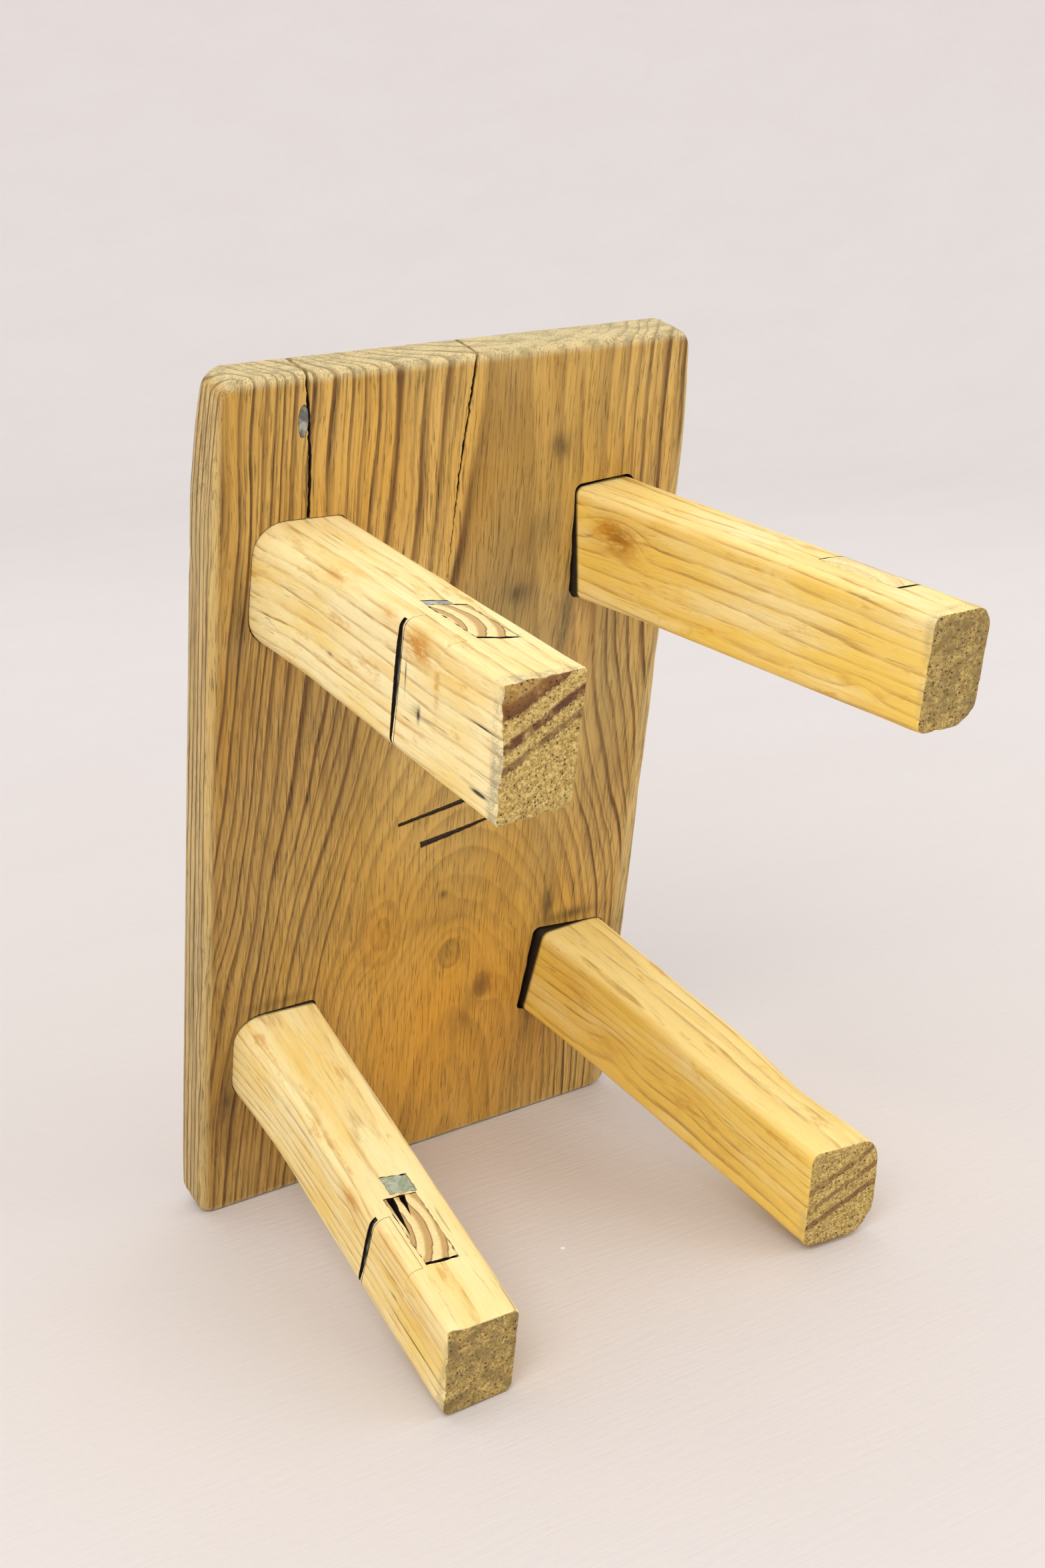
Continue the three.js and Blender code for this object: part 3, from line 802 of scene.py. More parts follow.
# x, z, reach across, reach along, rings and strength of the knots
knots = [(-23, 118, 15, 21, 2.4, 0.34), (13, 100, 8, 10, 1.5, 0.36), (30, 79, 7, 12, 1.4, 0.36)]
ambers = [
    (-23, 118, 9, 14, 0.55), (31, 80, 5, 7, 0.9), (-43.4, 177, 4, 1.2, 0.4), (60, 230, 9, 30, 0.3),
]


def seatTimber(name):
    look = seatLook
    sheet = Sheet(name, Matrix.Identity(4))
    x, y, z = sheet.x, sheet.y, sheet.z
    wide = sheet.noise((0.014, 0.02, 0.0055), 2.0)
    close = sheet.noise((0.05, 0.05, 0.009), 2.0, shift=(7, 2, 1))
    fine = sheet.noise((0.3, 0.3, 0.02), 3.0, shift=(3, 9, 4))
    bentX = x + (wide - 0.5) * 20 + (close - 0.5) * 6 + (fine - 0.5) * 0.9
    swing = sheet.apply("TANH", (z - look["turnsAt"]) / look["turnsOver"])
    depth = swing * look["depthSwing"] + look["depthMiddle"] - y * 0.8
    offCentre = bentX - look["centre"]
    rings = (offCentre * offCentre + depth * depth) ** 0.5
    for cx, cz, rx, rz, push in swirls:
        rings = rings + sheet.spot((cx, cz), (rx, rz), (x, z)) * float(push)
    widths = sheet.noise((0.055, 1, 1), 1.0, source=sheet.vector(rings, 0.0, 0.0))
    phase = rings / look["ringGap"] + widths * 3.2
    part = sheet.apply("FRACT", phase)
    late = sheet.band(part, 0.58, 0.88, 0.9, 1.0)
    soft = sheet.band(part, 0.1, 0.8, 0.85, 1.0)
    away = sheet.apply("ABSOLUTE", x - look["centre"])
    atSides = sheet.step(away, 38, 66)
    atTop = sheet.step(z, 190, 250) * (1 - sheet.step(x, -4, 16))
    clear = sheet.clamp(atSides + atTop)
    fade = sheet.noise((0.03, 0.05, 0.01), 3.0, shift=(1, 5, 8))
    strength = sheet.noise((1, 1, 1), 2.0, source=sheet.vector(rings * 0.25, y * 0.1, z * 0.012))
    shown = (0.1 + strength * 1.3) * (0.35 + fade)
    # the worn ends, the long edges, lighter partly by their own colour and partly by painted light, and the
    # straight lines of the long edges
    wide = sheet.apply("ABSOLUTE", x)
    edge = seat["width"] / 2
    ends = sheet.step(z, seat["length"] - 5, seat["length"] - 1.5) + (1 - sheet.step(z, 0.5, 4))
    sides = sheet.step(wide, edge - 4.5, edge - 2.5)
    sidePhase = (y + (close - 0.5) * 3.5 + (fine - 0.5) * 0.8) / look["sideRingGap"]
    sidePart = sheet.apply("FRACT", sidePhase + 20.0)
    sideLine = sheet.band(sidePart, 0.6, 0.84, 0.88, 1.0) * sides
    sharp = sheet.clamp(late * shown * (0.2 + clear * 1.1))
    calm = sheet.spot((10, 84), (58, 82), (x, z))
    sharp = sheet.clamp(sharp * (1 - calm * 0.85) * (1 - ends * 0.35) * (1 - sides * 0.9))
    broad = sheet.clamp(soft * shown * (0.38 - clear * 0.1) * (1 - calm * 0.6) * (1 - ends * 0.75)
                        * (1 - sides))
    # finer lines between the rings, near the long edges and at the upper end
    finePart = sheet.apply("FRACT", phase * 1.7 + 3.0)
    fineLine = sheet.band(finePart, 0.62, 0.86, 0.88, 1.0) * clear * fade
    sharp = sheet.clamp(sharp + fineLine * (1 - sides) * (1 - ends) * 0.75)
    sharp = sheet.clamp(sharp + sideLine * (0.3 + strength * 1.2))
    bent = sheet.vector(bentX, y, z)
    fibres = sheet.noise((1.1, 1.1, 0.028), 6.0, 0.66, shift=(2, 2, 2), source=bent)
    pores = sheet.noise((2.6, 2.6, 0.09), 4.0, 0.65, shift=(5, 1, 3), source=bent)
    pore = sheet.step(pores, 0.57, 0.7)
    patches = sheet.noise((0.02, 0.03, 0.011), 3.0, 0.55, shift=(11, 4, 6))
    weather = sheet.noise((0.028, 0.03, 0.007), 4.0, 0.6, shift=(4, 14, 2))
    colour = sheet.blend(sheet.step(patches, 0.32, 0.68), look["gold"], look["pale"])
    colour = sheet.blend(sheet.step(weather, 0.44, 0.68) * 0.55, colour, look["grey"])
    onFront = 1 - sheet.step(y, 3, 6)
    for cx, cz, rx, rz, amount, shade in shades:
        shading = sheet.spot((cx, cz), (rx, rz), (x, z)) * amount * (0.55 + weather * 0.9) * (1 - sides * 0.8)
        colour = sheet.blend(sheet.clamp(shading), colour, look[shade])
    colour = sheet.layers(colour,
        # painted light, partly the long edges' own colour: the side faces are lightened
        (sheet.clamp(sides * (0.25 + fibres * 0.5)), look["side"]),
        (sheet.clamp(ends * (0.35 + fibres * 0.7)), look["wornEnd"]),
        (broad, look["line"]),
        (sharp * 0.95, look["line"]))
    grain = sheet.noise((0.12, 0.12, 0.05), 4.0, 0.6, shift=(2, 6, 1))
    for cx, cz, rx, rz, count, amount in knots:
        du, dv = (x - cx) / rx, (z - cz) / rz
        far = (du * du + dv * dv) ** 0.5 + (close - 0.5) * 1.1 + (grain - 0.5) * 0.5
        turn = sheet.apply("FRACT", far * count + 4.0)
        ring = sheet.band(turn, 0.25, 0.8, 0.82, 1.0) * (1 - sheet.step(far, 0.5, 1.3))
        colour = sheet.blend(ring * onFront * amount * (0.4 + fade), colour, look["line"])
    colour = sheet.layers(colour,
        (sheet.step(fibres, 0.49, 0.7) * (0.52 - calm * 0.2), look["line"]),
        ((1 - sheet.step(fibres, 0.26, 0.46)) * 0.35, look["pale"]),
        (pore * (0.24 + sharp * 0.7), look["dark"]))
    mould = sheet.noise((0.16, 0.3, 0.16), 4.0, 0.65, shift=(1, 12, 5))
    colour = sheet.blend(ends * sheet.step(mould, 0.44, 0.62) * 0.55, colour, look["mould"])
    grime = sheet.noise((0.4, 0.5, 0.012), 4.0, 0.62, shift=(6, 3, 9))
    colour = sheet.blend(sides * sheet.step(grime, 0.5, 0.64) * 0.55, colour, look["line"])
    for cx, cz, rx, rz, amount in ambers:
        glow = sheet.spot((cx, cz), (rx, rz), (x, z)) * onFront * amount * (0.3 + fade * 0.9)
        colour = sheet.blend(sheet.clamp(glow), colour, look["amber"])
    rough = sheet.noise((0.25, 0.25, 0.1), 4.0, 0.6, shift=(8, 8, 8))
    # dark marks round the knots, and painted shade in the strips along the leg roots
    for cx, cz, rx, rz, amount in marksAndRootShade:
        mark = sheet.spot((cx, cz), (rx, rz), (x, z)) * onFront * (0.1 + rough * 1.4) * amount
        colour = sheet.blend(sheet.clamp(mark), colour, look["dark"])
    # painted shade: the walls of the mortises and cracks are painted dark
    inner = sheet.band(y, 0.45, 0.9, 15, 17) * (1 - sheet.step(wide, edge - 10, edge - 8))
    inner = inner * sheet.step(z, 9, 11) * (1 - sheet.step(z, seat["length"] - 9, seat["length"] - 7))
    colour = sheet.blend(inner, colour, look["recessShade"])
    height = fibres * 0.5 - sharp * 0.4 - pore * 0.5 + rough * 0.35
    roughness = sheet.clamp(0.5 + sharp * 0.15 + (rough - 0.5) * 0.35, 0.3, 0.85)
    return sheet.finish(colour, roughness, height, 0.0006)


legLook = {
    "bandSlope": 25, "heartAway": 60.0,
    "cream": linear(252, 234, 174), "gold": linear(247, 209, 98), "line": linear(190, 146, 70),
    "grey": linear(140, 124, 88), "amber": linear(206, 142, 38), "dark": linear(56, 40, 26),
    "endTan": linear(250, 222, 140), "endDark": linear(178, 140, 62), "maroon": linear(104, 52, 30),
    # the last colour on the next line is painted shade, for the leg wood within the seat and in its pockets
    "burnt": linear(176, 128, 62), "straw": linear(240, 196, 92), "recessShade": linear(38, 27, 18),
    "dirt": linear(146, 124, 74), "rim": linear(136, 132, 112),
}

legFinish = {
    # ringTurn is the way the rings lie, seen on the end. bands are rings that show dark on the end:
    # how far they are from its upper left corner, half their breadth, and their strength.
    # stains and marks are on the left face: how far down the leg, how far above its middle, reach
    # down and up, and strength.
    "leg_upper_left": {
        "ringTurn": 115, "ringGap": 5.0, "seed": 1, "dirt": 0.06, "gold": 0.28, "tone": 1.06,
        "pockets": True, "burnt": True, "rim": 0.7,
        "bands": [(8.6, 2.3, 1.0), (18.4, 1.5, 0.8), (25.0, 1.3, 0.6)],
        "stains": [(118, 16, 8.5, 4.5, 1.5), (131, 8, 1.6, 9, 0.8), (60, 21, 14, 2.5, 0.5),
                   (98, 20, 9, 2.5, 0.5)],
        "knots": [],
        "marks": [(120.5, -5, 1.0, 2.2, 1.2), (118.5, -4, 2.4, 1.6, 0.35),
                  (160, 5, 6, 0.28, 1.6), (160, -15.5, 4.2, 0.6, 1.6), (111, 5, 0.45, 5, 0.9),
                  (58, -6, 2, 0.8, 0.6), (113, -9, 2.6, 0.3, 0.8)],
    },
    "leg_upper_right": {
        "ringTurn": 72, "ringGap": 4.6, "seed": 2, "dirt": 0.75, "gold": 0.68, "tone": 0.93,
        "pockets": True, "burnt": False, "rim": 0.4,
        "bands": [(12, 1.2, 0.25), (24, 1.0, 0.25)],
        "stains": [(20, 8, 10, 6, 1.5), (15, 11, 6, 4, 1.0), (28, 4, 5, 3, 0.6), (135, -12, 4, 2.5, 0.5),
                   (149, -14, 3, 2, 0.6)],
        "knots": [(20, 8, 7, 9.0), (141, -13, 4, 3.0)],
        "marks": [(21, 8, 6, 4, 0.35)],
    },
    "leg_lower_right": {
        "ringTurn": 115, "ringGap": 5.0, "seed": 3, "dirt": 0.2, "gold": 0.92, "tone": 1.02,
        "pockets": False, "burnt": False, "rim": 0.3,
        "bands": [(17, 1.2, 0.45), (24, 1.1, 0.5), (31, 1.2, 0.6)],
        "knots": [(50, -4, 7, 5.0), (96, 2, 9, 4.0)],
        "stains": [(22, 8, 10, 5, 0.55), (48, -4, 10, 6, 0.45), (90, 0, 22, 8, 0.3), (120, -8, 12, 6, 0.3)],
        "marks": [],
    },
    "leg_lower_left": {
        "ringTurn": 100, "ringGap": 4.4, "seed": 4, "dirt": 0.85, "gold": 0.42, "tone": 0.94,
        "pockets": True, "burnt": False, "rim": 0.6,
        "bands": [(8, 1.3, 0.3), (30, 1.3, 0.3)],
        "stains": [(96, 12, 7, 3.5, 1.0), (122, 16, 8, 2.5, 0.5), (150, 4, 14, 5, 0.3)],
        "knots": [(96, 10, 5, 3.0)],
        "marks": [(152, -6, 19, 0.4, 0.9), (128, 6, 10, 0.4, 0.5), (134, 0, 2.4, 0.5, 0.8)],
    },
}


def legFrame(leg):
    # x across, y down the leg, z up its section, with the origin at the root
    origin = Vector(pointOnLeg(leg, 0, 0, 0))
    down = (Vector(pointOnLeg(leg, 1, 0, 0)) - origin).normalized()
    across = (Vector(pointOnLeg(leg, 0.5, 1, 0)) - Vector(pointOnLeg(leg, 0.5, 0, 0))).normalized()
    up = across.cross(down) * -1
    across = down.cross(up) * -1
    made = Matrix((across, down, up)).transposed().to_4x4()
    made.translation = origin
    return made


def legTimber(name, leg, own):
    look = legLook
    sheet = Sheet(name, legFrame(leg))
    x, y, z = sheet.x, sheet.y, sheet.z
    seed, length = own["seed"], leg["length"]
    halfWide, halfHigh = leg["footSize"][0] / 2, leg["footSize"][1] / 2
    wide = sheet.noise((0.03, 0.006, 0.03), 2.0, shift=(seed * 3.1, seed, 2))
    close = sheet.noise((0.12, 0.012, 0.12), 3.0, shift=(seed, seed * 2.3, 5))
    turn = math.radians(own["ringTurn"])
    far = look["heartAway"]
    across = x - far * math.cos(turn)
    up = z - far * math.sin(turn)
    rings = (across * across + up * up) ** 0.5 + (wide - 0.5) * 15 + (close - 0.5) * 3.2
    for down, side, reach, push in own["knots"]:
        rings = rings + sheet.spot((down, side), (reach * 1.7, reach), (y, z)) * push
    part = sheet.apply("FRACT", rings / own["ringGap"] + 10.0)
    late = sheet.band(part, 0.66, 0.92, 0.94, 1.0)
    soft = sheet.band(part, 0.1, 0.85, 0.88, 1.0)
    strength = sheet.noise((0.1, 0.01, 0.1), 3.0, 0.6, shift=(4, seed, 9))
    broken = sheet.step(sheet.noise((0.35, 0.05, 0.35), 3.0, 0.6, shift=(9, seed, 1)), 0.34, 0.62)
    bent = sheet.vector(x + (wide - 0.5) * 8, y, z + (close - 0.5) * 5)
    fibres = sheet.noise((0.8, 0.018, 0.8), 6.0, 0.64, source=bent, shift=(seed, 1, 1))
    pores = sheet.noise((2.2, 0.06, 2.2), 4.0, 0.62, source=bent, shift=(2, seed, 1))
    patches = sheet.noise((0.06, 0.016, 0.06), 4.0, 0.6, shift=(seed, seed, 3))
    tint = patches + (own["gold"] - 0.5) * 0.45
    colour = sheet.blend(sheet.step(tint, 0.3, 0.74), look["cream"], look["gold"])
    # painted sheen: the upper faces are lightened towards cream, in place of the top light's reflection
    topSheen = sheet.step(z, halfHigh - 4, halfHigh - 1)
    colour = sheet.blend(topSheen * 0.4, colour, look["cream"])
    straws = sheet.noise((0.16, 0.012, 0.16), 5.0, 0.68, source=bent, shift=(seed, 3, 8))
    colour = sheet.layers(colour,
        (sheet.step(straws, 0.48, 0.68) * 0.5, look["straw"]),
        (soft * strength * 0.2, look["line"]),
        (sheet.clamp(late * broken * (strength * 2.1 - 0.42)), look["line"]))
    checks = sheet.step(sheet.noise((0.5, 0.012, 0.5), 2.0, 0.5, source=bent, shift=(seed, 6, 4)), 0.66, 0.7)
    colour = sheet.layers(colour,
        (checks * broken * 0.6, look["grey"]),
        (sheet.step(fibres, 0.52, 0.76) * 0.3, look["line"]),
        (sheet.step(pores, 0.6, 0.7) * 0.45, look["grey"]))
    blot = sheet.noise((0.3, 0.1, 0.3), 5.0, 0.68, shift=(seed, 7, 7))
    flecks = sheet.noise((0.14, 0.04, 0.14), 4.0, 0.7, shift=(seed, 5, 2))
    colour = sheet.blend(sheet.step(flecks, 0.58, 0.7) * 0.5, colour, look["amber"])
    onLeft = 1 - sheet.step(x, -9, -6)
    for down, side, reachDown, reachSide, amount in own["stains"]:
        mark = sheet.spot((down, side), (reachDown, reachSide), (y, z)) * onLeft
        colour = sheet.blend(sheet.clamp(mark * sheet.step(blot, 0.3, 0.62) * amount), colour, look["amber"])
    for down, side, reachDown, reachSide, amount in own["marks"]:
        mark = sheet.spot((down, side), (reachDown, reachSide), (y, z)) * onLeft
        colour = sheet.blend(sheet.clamp(mark * (0.2 + blot * 1.6) * amount), colour, look["dark"])
    # the sawn end: open pores, dark rings and ground-in dirt
    grit = sheet.noise((1.5, 1.5, 1.5), 5.0, 0.75, shift=(seed, 2, 6))
    crumbs = sheet.noise((0.75, 0.75, 0.75), 3.0, 0.6, shift=(6, seed, 2))
    hole = 1 - sheet.step(sheet.pits((0.72, 0.5, 0.72)) - grit * 0.34, 0.02, 0.15)
    hole = hole * (1 - sheet.step(crumbs, 0.4, 0.62))
    clouds = sheet.noise((0.14, 0.14, 0.14), 4.0, 0.65, shift=(3, seed, 4))
    endTan, endDark = (tuple(c * own["tone"] for c in look[k]) for k in ("endTan", "endDark"))
    endColour = sheet.blend(1 - sheet.step(grit * 0.6 + crumbs * 0.4, 0.42, 0.58), endTan, endDark)
    endColour = sheet.blend(soft * 0.25, endColour, endDark)
    slope = math.radians(look["bandSlope"])
    offset = (x + halfWide) * math.sin(slope) + (halfHigh - z) * math.cos(slope) + (clouds - 0.5) * 2.4
    offset = offset + (grit - 0.5) * 2.2 + (crumbs - 0.5) * 1.6
    for middle, half, amount in own["bands"]:
        gap = sheet.apply("ABSOLUTE", offset - middle)
        band = (1 - sheet.step(gap, half * 0.7, half * 1.3)) * sheet.step(clouds + grit * 0.5, 0.5, 0.78)
        endColour = sheet.blend(sheet.clamp(band * amount * 1.2), endColour, look["maroon"])
    endColour = sheet.blend(sheet.step(clouds, 0.36, 0.66) * own["dirt"], endColour, look["dirt"])
    if own["burnt"]:
        above = 1 - sheet.step(offset, 6.0, 13.0)
        endColour = sheet.blend(above * 0.6, endColour, look["burnt"])
    endColour = sheet.blend(hole * 0.92, endColour, look["dark"])
    rim = sheet.step(y, length - 4, length - 0.4) * sheet.step(grit * 0.5 + clouds * 0.5, 0.42, 0.58)
    colour = sheet.blend(rim * own["rim"], colour, look["rim"])
    facing = sheet.facing(legFrame(leg), (0, 1, 0))
    sawn = sheet.step(facing, 0.5, 0.75) * sheet.step(y, length - 16, length - 13)
    colour = sheet.blend(sawn, colour, endColour)
    # painted shade: within the seat, and in the pockets cut into the leg, the wood is painted dark
    sunk = (1 - sheet.step(y, -1.6, 0.2)) * sheet.step(y, -21.5, -19.5)
    if own["pockets"]:
        share = y / length
        sizes = [(a / 2, (b - a) / 2) for a, b in zip(leg["rootSize"], leg["footSize"])]
        under = [share * grown + start - sheet.apply("ABSOLUTE", c)
                 for c, (start, grown) in zip((x, z), sizes)]
        within = sheet.step(under[0], 1.8, 3.0) * sheet.step(under[1], 1.8, 3.0)
        squarely = sheet.apply("ABSOLUTE", facing)
        within = sheet.clamp(within + sheet.step(squarely, 0.5, 0.7))
        sunk = sheet.clamp(sunk + within * sheet.band(y, 88, 90, 145, 147))
    colour = sheet.blend(sunk, colour, look["recessShade"])
    sideHeight = fibres * 0.45 - late * 0.2 + sheet.noise((0.5, 0.2, 0.5), 3.0, shift=(1, 1, seed)) * 0.35
    endHeight = grit * 1.6 - hole * 0.9
    height = sideHeight + sawn * (endHeight - sideHeight)
    roughness = sheet.clamp(0.46 + (blot - 0.5) * 0.3 + sawn * 0.35, 0.3, 0.95)
    return sheet.finish(colour, roughness, height, 0.0005)


def stripedEnd(name, pieceFrame, plain):
    # the end grain of an old tenon, its rings running in shallow arcs along it
    sheet = Sheet(name, pieceFrame)
    x, y = sheet.x, sheet.y
    wave = sheet.noise((0.07, 0.2, 0.2), 3.0)
    across = y + 17.0
    along = x + 4.0
    rings = (across * across + along * along * 0.55) ** 0.5 + (wave - 0.5) * 2.4
    part = sheet.apply("FRACT", rings / (5.4 if not plain else 6.0) + 0.3)
    late = sheet.band(part, 0.36, 0.6, 0.9, 0.98)
    edge = sheet.band(part, 0.84, 0.92, 0.93, 1.0)
    grit = sheet.noise((1.6, 1.6, 1.6), 4.0, 0.65)
    colour = sheet.blend(sheet.step(grit, 0.3, 0.7), linear(236, 206, 138), linear(252, 232, 172))
    colour = sheet.layers(colour,
        (late * (0.22 if plain else 0.78), linear(184, 140, 78)),
        (edge * (0.2 if plain else 0.75), linear(128, 88, 56)))
    # painted shade: every face of the piece that does not face up, down in the pocket gaps, is painted near
    # black
    top = sheet.step(sheet.facing(pieceFrame, (0, 0, 1)), 0.35, 0.6)
    colour = sheet.blend(1 - top, colour, linear(34, 24, 18))
    return sheet.finish(colour, sheet.clamp(0.55 + grit * 0.2), grit * 0.5 - late * 0.5, 0.0004)


def putty(name, pieceFrame, tint):
    sheet = Sheet(name, pieceFrame)
    grit = sheet.noise((0.8, 0.8, 0.8), 5.0, 0.65)
    clouds = sheet.noise((0.2, 0.2, 0.2), 2.0)
    colour = sheet.blend(sheet.step(grit, 0.3, 0.75), tuple(c * 0.6 for c in tint), tint)
    colour = sheet.blend(sheet.step(clouds, 0.45, 0.65) * 0.5, colour, linear(206, 204, 190))
    return sheet.finish(colour, 0.75 + grit * 0.1, grit, 0.0004)


def darkFill(name, pieceFrame):
    sheet = Sheet(name, pieceFrame)
    grit = sheet.noise((1.1, 0.16, 1.1), 5.0, 0.7)
    colour = sheet.blend(sheet.step(grit, 0.46, 0.66), linear(26, 24, 20), linear(120, 114, 92))
    return sheet.finish(colour, 0.8 + grit * 0.1, grit, 0.0006)


def wedgeWood(name):
    sheet = Sheet(name, Matrix.Identity(4))
    streak = sheet.noise((0.05, 0.9, 0.9), 4.0, 0.6)
    colour = sheet.blend(sheet.step(streak, 0.3, 0.7), linear(178, 128, 74), linear(216, 172, 110))
    return sheet.finish(colour, 0.6 + streak * 0.1, streak, 0.0004)


# putting it together

# degrees: edges that turn by more than this stay sharp
sharpAngle = 38
# how far a let-in piece sits below its face, and the space round the pieces in their pockets
letInFit = {"sunk": 0.12, "round": 0.6, "below": 0.3, "lapRound": 0.32, "lapBelow": 0.4, "slot": 0.35}
# the small round filler near the seat's upper end
seatSpot = {"at": (-65.8, 342.4), "halfSize": (1.8, 5.75), "depth": 4.3, "sunk": 0.25, "corners": 28}


def hand(thing, material, node):
    # gives a finished piece its material and its place, and stands it in for its CAD node
    mesh = thing.data
    mesh.transform(place)
    mesh.materials.clear()
    mesh.materials.append(material)
    mesh.polygons.foreach_set("material_index", [0] * len(mesh.polygons))
    mesh.polygons.foreach_set("use_smooth", [True] * len(mesh.polygons))
    mesh.set_sharp_from_angle(angle=math.radians(sharpAngle))
    mesh.update()
    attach(thing, "root")
    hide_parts(node)


def slotCutter(leg, piece, matrix, grow, name):
    # a saw slot: broad at its middle, open at the leg's lower edge, and running out at the upper one
    height = sectionSize(leg, (piece["near"] + piece["far"]) / (2 * leg["length"]))[1]
    low, high = -height / 2 - 3, height / 2 + grow - 1.6
    sides = ([], [])
    for share in np.linspace(0, 1, 15):
        y = mix(low, high, share)
        half = (piece["far"] - piece["near"]) * (0.03 + 0.42 * math.sin(0.86 * math.pi * share ** 1.3)) + grow
        sides[0].append((piece["slant"] * y / height - half, y))
        sides[1].append((piece["slant"] * y / height + half, y))
    outline = sides[1] + sides[0][::-1]
    made = prism(name, roughen(outline, 1.2, 0.2, 3), -piece["depth"] * 0.8, 4, matrix)
    recalculate(made)
    return made


def leftFace(leg, piece):
    # the height of the left face at a piece, and the frame at the middle of the piece
    middle = (piece["near"] + piece["far"]) / 2
    height = sectionSize(leg, middle / leg["length"])[1]
    return height, faceFrame(leg, "left", middle, height / 2)


def lower(thing, matrix, depth):
    thing.data.transform(Matrix.Translation(matrix.to_3x3() @ Vector((0, 0, -depth))))


def makeLegs():
    blanks = {name: legBlank(name, leg, index * 10 + 11) for index, (name, leg) in enumerate(legs.items())}
    materials = {name: legTimber(name + "Timber", leg, legFinish[name]) for name, leg in legs.items()}
    cutters = {name: [] for name in legs}
    for name, piece in letIn.items():
        leg = legs[piece["leg"]]
        middle, centre = (piece["near"] + piece["far"]) / 2, (piece["left"] + piece["right"]) / 2
        matrix = faceFrame(leg, "upper", middle, centre)
        long, wide = piece["far"] - piece["near"], piece["right"] - piece["left"]
        seed = len(name) + int(piece["near"])
        outline = roughen(slanted(long, wide, piece["skew"]), 1.6, piece["rough"], seed)
        made = copyOf(blanks[piece["leg"]], name + "_piece")
        combine(made, prism("outline", outline, -piece["depth"], 3, matrix), "INTERSECT")
        for mouth, tip in piece.get("breaks", []):
            start = -long / 2 - 2
            shape = [(start, mouth[0] - centre), (tip[0] - middle, tip[1] - centre),
                     (start, mouth[1] - centre)]
            area = sum(a[0] * b[1] - b[0] * a[1] for a, b in zip(shape, shape[1:] + shape[:1]))
            shape = shape if area > 0 else shape[::-1]
            combine(made, prism("break", roughen(shape, 2.0, 0.3, seed), -7, 3, matrix))
        lower(made, matrix, letInFit["sunk"])
        gap = piece["endGap"]
        loose = slanted(long + letInFit["round"] + gap, wide + letInFit["round"], piece["skew"])
        hole = roughen(loose, 1.6, piece["rough"], seed + 1)
        shifted = [(x + gap / 2, y) for x, y in hole]
        cutters[piece["leg"]].append(prism("pocket", shifted, -piece["depth"] - letInFit["below"], 4, matrix))
        if piece["wood"] == "filler":
            tint = linear(168, 172, 170) if "upper" in name else linear(176, 186, 156)
            hand(made, putty(name + "Putty", matrix, tint), name)
        else:
            hand(made, stripedEnd(name + "Wood", matrix, piece["wood"] == "plain"), name)
    for name, piece in acrossLeft.items():
        leg = legs[piece["leg"]]
        height, matrix = leftFace(leg, piece)
        reach = height + 8
        skew = piece["slant"] * reach / height
        long = piece["far"] - piece["near"]
        made = copyOf(blanks[piece["leg"]], name + "_piece")
        if "lap" in name:
            nextSlot = acrossLeft[name.replace("old_lap", "slot_fill")]
            _, slotFrame = leftFace(leg, nextSlot)
            combine(made, slotCutter(leg, nextSlot, slotFrame, letInFit["slot"], "slot"))
            combine(made, prism("slab", slanted(long, reach, skew), -piece["depth"], 4, matrix), "INTERSECT")
            hole = slanted(long + letInFit["lapRound"], reach, skew)
            pocketDepth = piece["depth"] + letInFit["lapBelow"]
            cutters[piece["leg"]].append(prism("pocket", hole, -pocketDepth, 4, matrix))
            lower(made, matrix, piece["sunk"])
            hand(made, materials[piece["leg"]], name)
        else:
            combine(made, slotCutter(leg, piece, matrix, 0, "blade"), "INTERSECT")
            cutters[piece["leg"]].append(slotCutter(leg, piece, matrix, letInFit["slot"], "slot"))
            lower(made, matrix, piece["sunk"])
            # the slot fill gets a near-black colour with grey streaks
            hand(made, darkFill(name + "Dirt", matrix), name)
    for index, (name, leg) in enumerate(legs.items()):
        made = blanks[name]
        cutters[name].append(wedgeSolid("slot", leg, 0.3, 4))
        for cutter in cutters[name]:
            combine(made, cutter)
        hand(made, materials[name], name)
        peg = name.replace("leg", "wedge")
        made = wedgeSolid(peg + "_wood", leg, 0, -0.3)
        hand(made, wedgeWood(peg + "Wood"), peg)
        print("leg made:", name)


def makeSeat():
    points, faces = seatMesh()
    board = newObject("seat_wood", points, faces)
    recalculate(board)
    for leg in legs.values():
        combine(board, mortise(leg, False))
        if max(leg["gap"]) > 0:
            combine(board, mortise(leg, True))
    tree, ids = pathCutterTree()
    for seed, (name, crack) in enumerate(cracks.items()):
        combine(board, crackCutter(name, crack, tree, ids, seed + 3))
    halfWide, halfHigh = seatSpot["halfSize"]
    angles = np.linspace(0, 2 * math.pi, seatSpot["corners"] + 1)[:-1]
    spot = [(halfWide * math.cos(a), halfHigh * math.sin(a)) for a in angles]
    across, along = seatSpot["at"]
    matrix = Matrix.Translation((across, 0, along)) @ Matrix.Rotation(math.pi / 2, 4, "X")
    grown = [(x * 1.12, y * 1.04) for x, y in roughen(spot, 1.0, 0.15, 2)]
    combine(board, prism("spot", grown, -seatSpot["depth"], 4, matrix))
    hand(board, seatTimber("seatTimber"), "seat_board")
    plug = prism("seat_filler_putty", roughen(spot, 1.0, 0.15, 2), -4, -seatSpot["sunk"], matrix)
    recalculate(plug)
    hand(plug, putty("seatPutty", matrix, linear(118, 118, 116)), "seat_filler")
    print("seat made:", len(board.data.polygons), "faces")


# the room

room = {"floorReach": 1.7, "rise": 0.9, "wallHeight": 1.5, "turnSteps": 96, "curveSteps": 24}


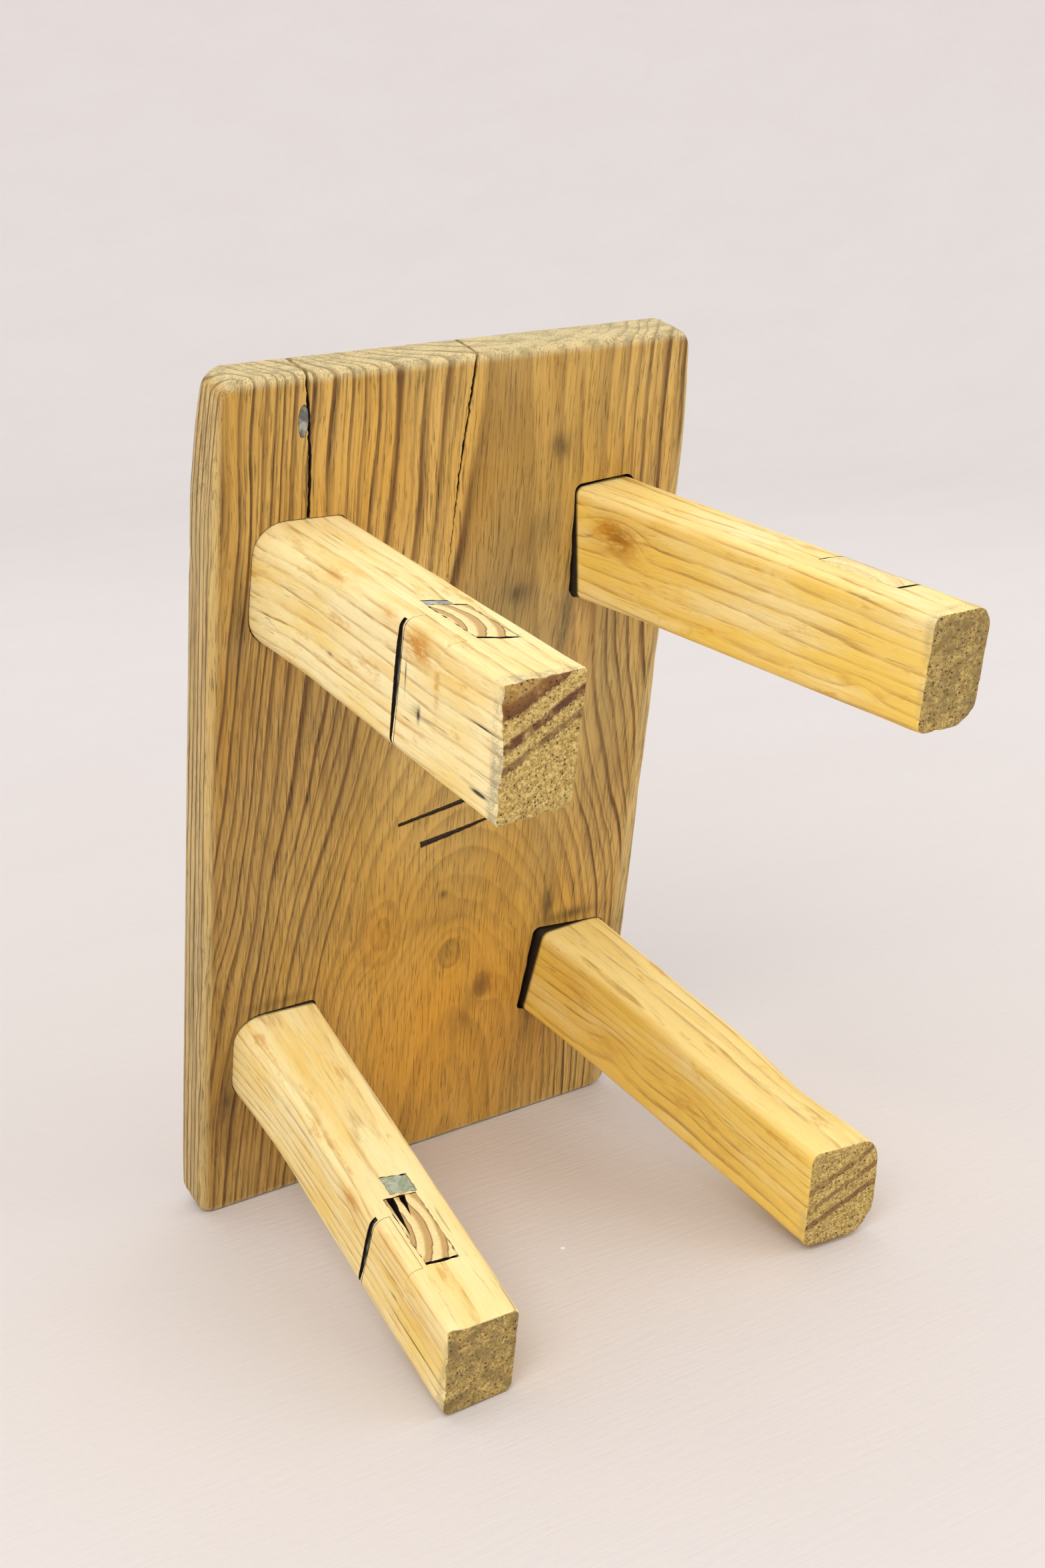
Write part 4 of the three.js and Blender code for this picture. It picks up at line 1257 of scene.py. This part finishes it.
def makeRoom():
    # a floor that curves up into a round wall
    profile = [(0.001, 0.0), (0.25, 0.0), (0.6, 0.0), (1.1, 0.0), (room["floorReach"], 0.0)]
    for step in range(1, room["curveSteps"] + 1):
        angle = math.pi / 2 * step / room["curveSteps"]
        profile.append((room["floorReach"] + room["rise"] * math.sin(angle),
                        room["rise"] * (1 - math.cos(angle))))
    profile.append((room["floorReach"] + room["rise"], room["wallHeight"]))
    steps = room["turnSteps"]
    points = [(r * math.cos(2 * math.pi * i / steps), r * math.sin(2 * math.pi * i / steps), h)
              for r, h in profile for i in range(steps)]
    faces = [(j * steps + i, j * steps + (i + 1) % steps, (j + 1) * steps + (i + 1) % steps,
              (j + 1) * steps + i)
             for j in range(len(profile) - 1) for i in range(steps)]
    floor = newObject("backdrop", points, faces)
    # its pattern is in upright millimetres
    sheet = Sheet("backdropPaint", place.inverted() @ Matrix.Scale(0.001, 4))
    clouds = sheet.noise((0.006, 0.011, 0.02), 5.0, 0.6)
    weave = sheet.noise((0.05, 0.4, 0.4), 3.0, 0.6)
    outward = (sheet.x * sheet.x + sheet.y * sheet.y) ** 0.5
    # painted shade: the floor is darker towards the middle, where the stool stands, and lighter outward
    colour = sheet.blend(sheet.step(outward, 200, 1300), linear(220, 213, 209), linear(235, 230, 228))
    colour = sheet.blend(sheet.step(clouds, 0.32, 0.7) * 0.06 + weave * 0.08, colour, linear(204, 192, 186))
    sheet.finish(colour, 0.85, weave, 0.0003)
    floor.data.materials.append(sheet.material)
    floor.data.polygons.foreach_set("use_smooth", [True] * len(floor.data.polygons))


lamps = {
    # where it stands, what it points at, size, power, colour
    "key": ((-1.15, -1.05, 1.75), (0, 0, 0.15), 1.2, 19.4, (1.0, 0.98, 0.96)),
    "fill": ((1.35, -1.0, 1.1), (0, 0, 0.15), 1.4, 7, (0.97, 0.98, 1.0)),
    "top": ((0.1, 0.4, 2.1), (0, 0, 0.1), 1.6, 6, (1.0, 0.98, 0.96)),
}


def makeLights():
    for name, (spot, target, size, power, colour) in lamps.items():
        data = bpy.data.lights.new(name, "AREA")
        data.shape = "DISK"
        data.size = size
        data.energy = power
        data.color = colour
        lamp = bpy.data.objects.new(name, data)
        lamp.location = spot
        lamp.rotation_euler = (Vector(target) - Vector(spot)).to_track_quat("-Z", "Y").to_euler()
        bpy.context.scene.collection.objects.link(lamp)
    world = bpy.data.worlds.new("studio")
    world.use_nodes = True
    world.node_tree.nodes["Background"].inputs["Color"].default_value = (0.97, 0.97, 0.98, 1)
    world.node_tree.nodes["Background"].inputs["Strength"].default_value = 0.82
    bpy.context.scene.world = world
    bpy.context.scene.view_settings.view_transform = "Standard"


camera = {"spot": (-0.3857, -0.6053, 0.4297), "turn": 31.87, "tilt": -18.18, "roll": -2.5, "lens": 47.3}


def makeCamera():
    data = bpy.data.cameras.new("camera")
    data.lens = camera["lens"]
    data.sensor_width = 36
    data.clip_start = 0.01
    made = bpy.data.objects.new("camera", data)
    turn = Matrix.Rotation(math.radians(-camera["turn"]), 4, "Z")
    tilt = Matrix.Rotation(math.radians(90 + camera["tilt"]), 4, "X")
    roll = Matrix.Rotation(math.radians(camera["roll"]), 4, "Z")
    made.matrix_world = Matrix.Translation(camera["spot"]) @ turn @ tilt @ roll
    bpy.context.scene.collection.objects.link(made)
    bpy.context.scene.camera = made


makeCamera()
makeLights()
makeRoom()
print("room made")
makeLegs()
makeSeat()
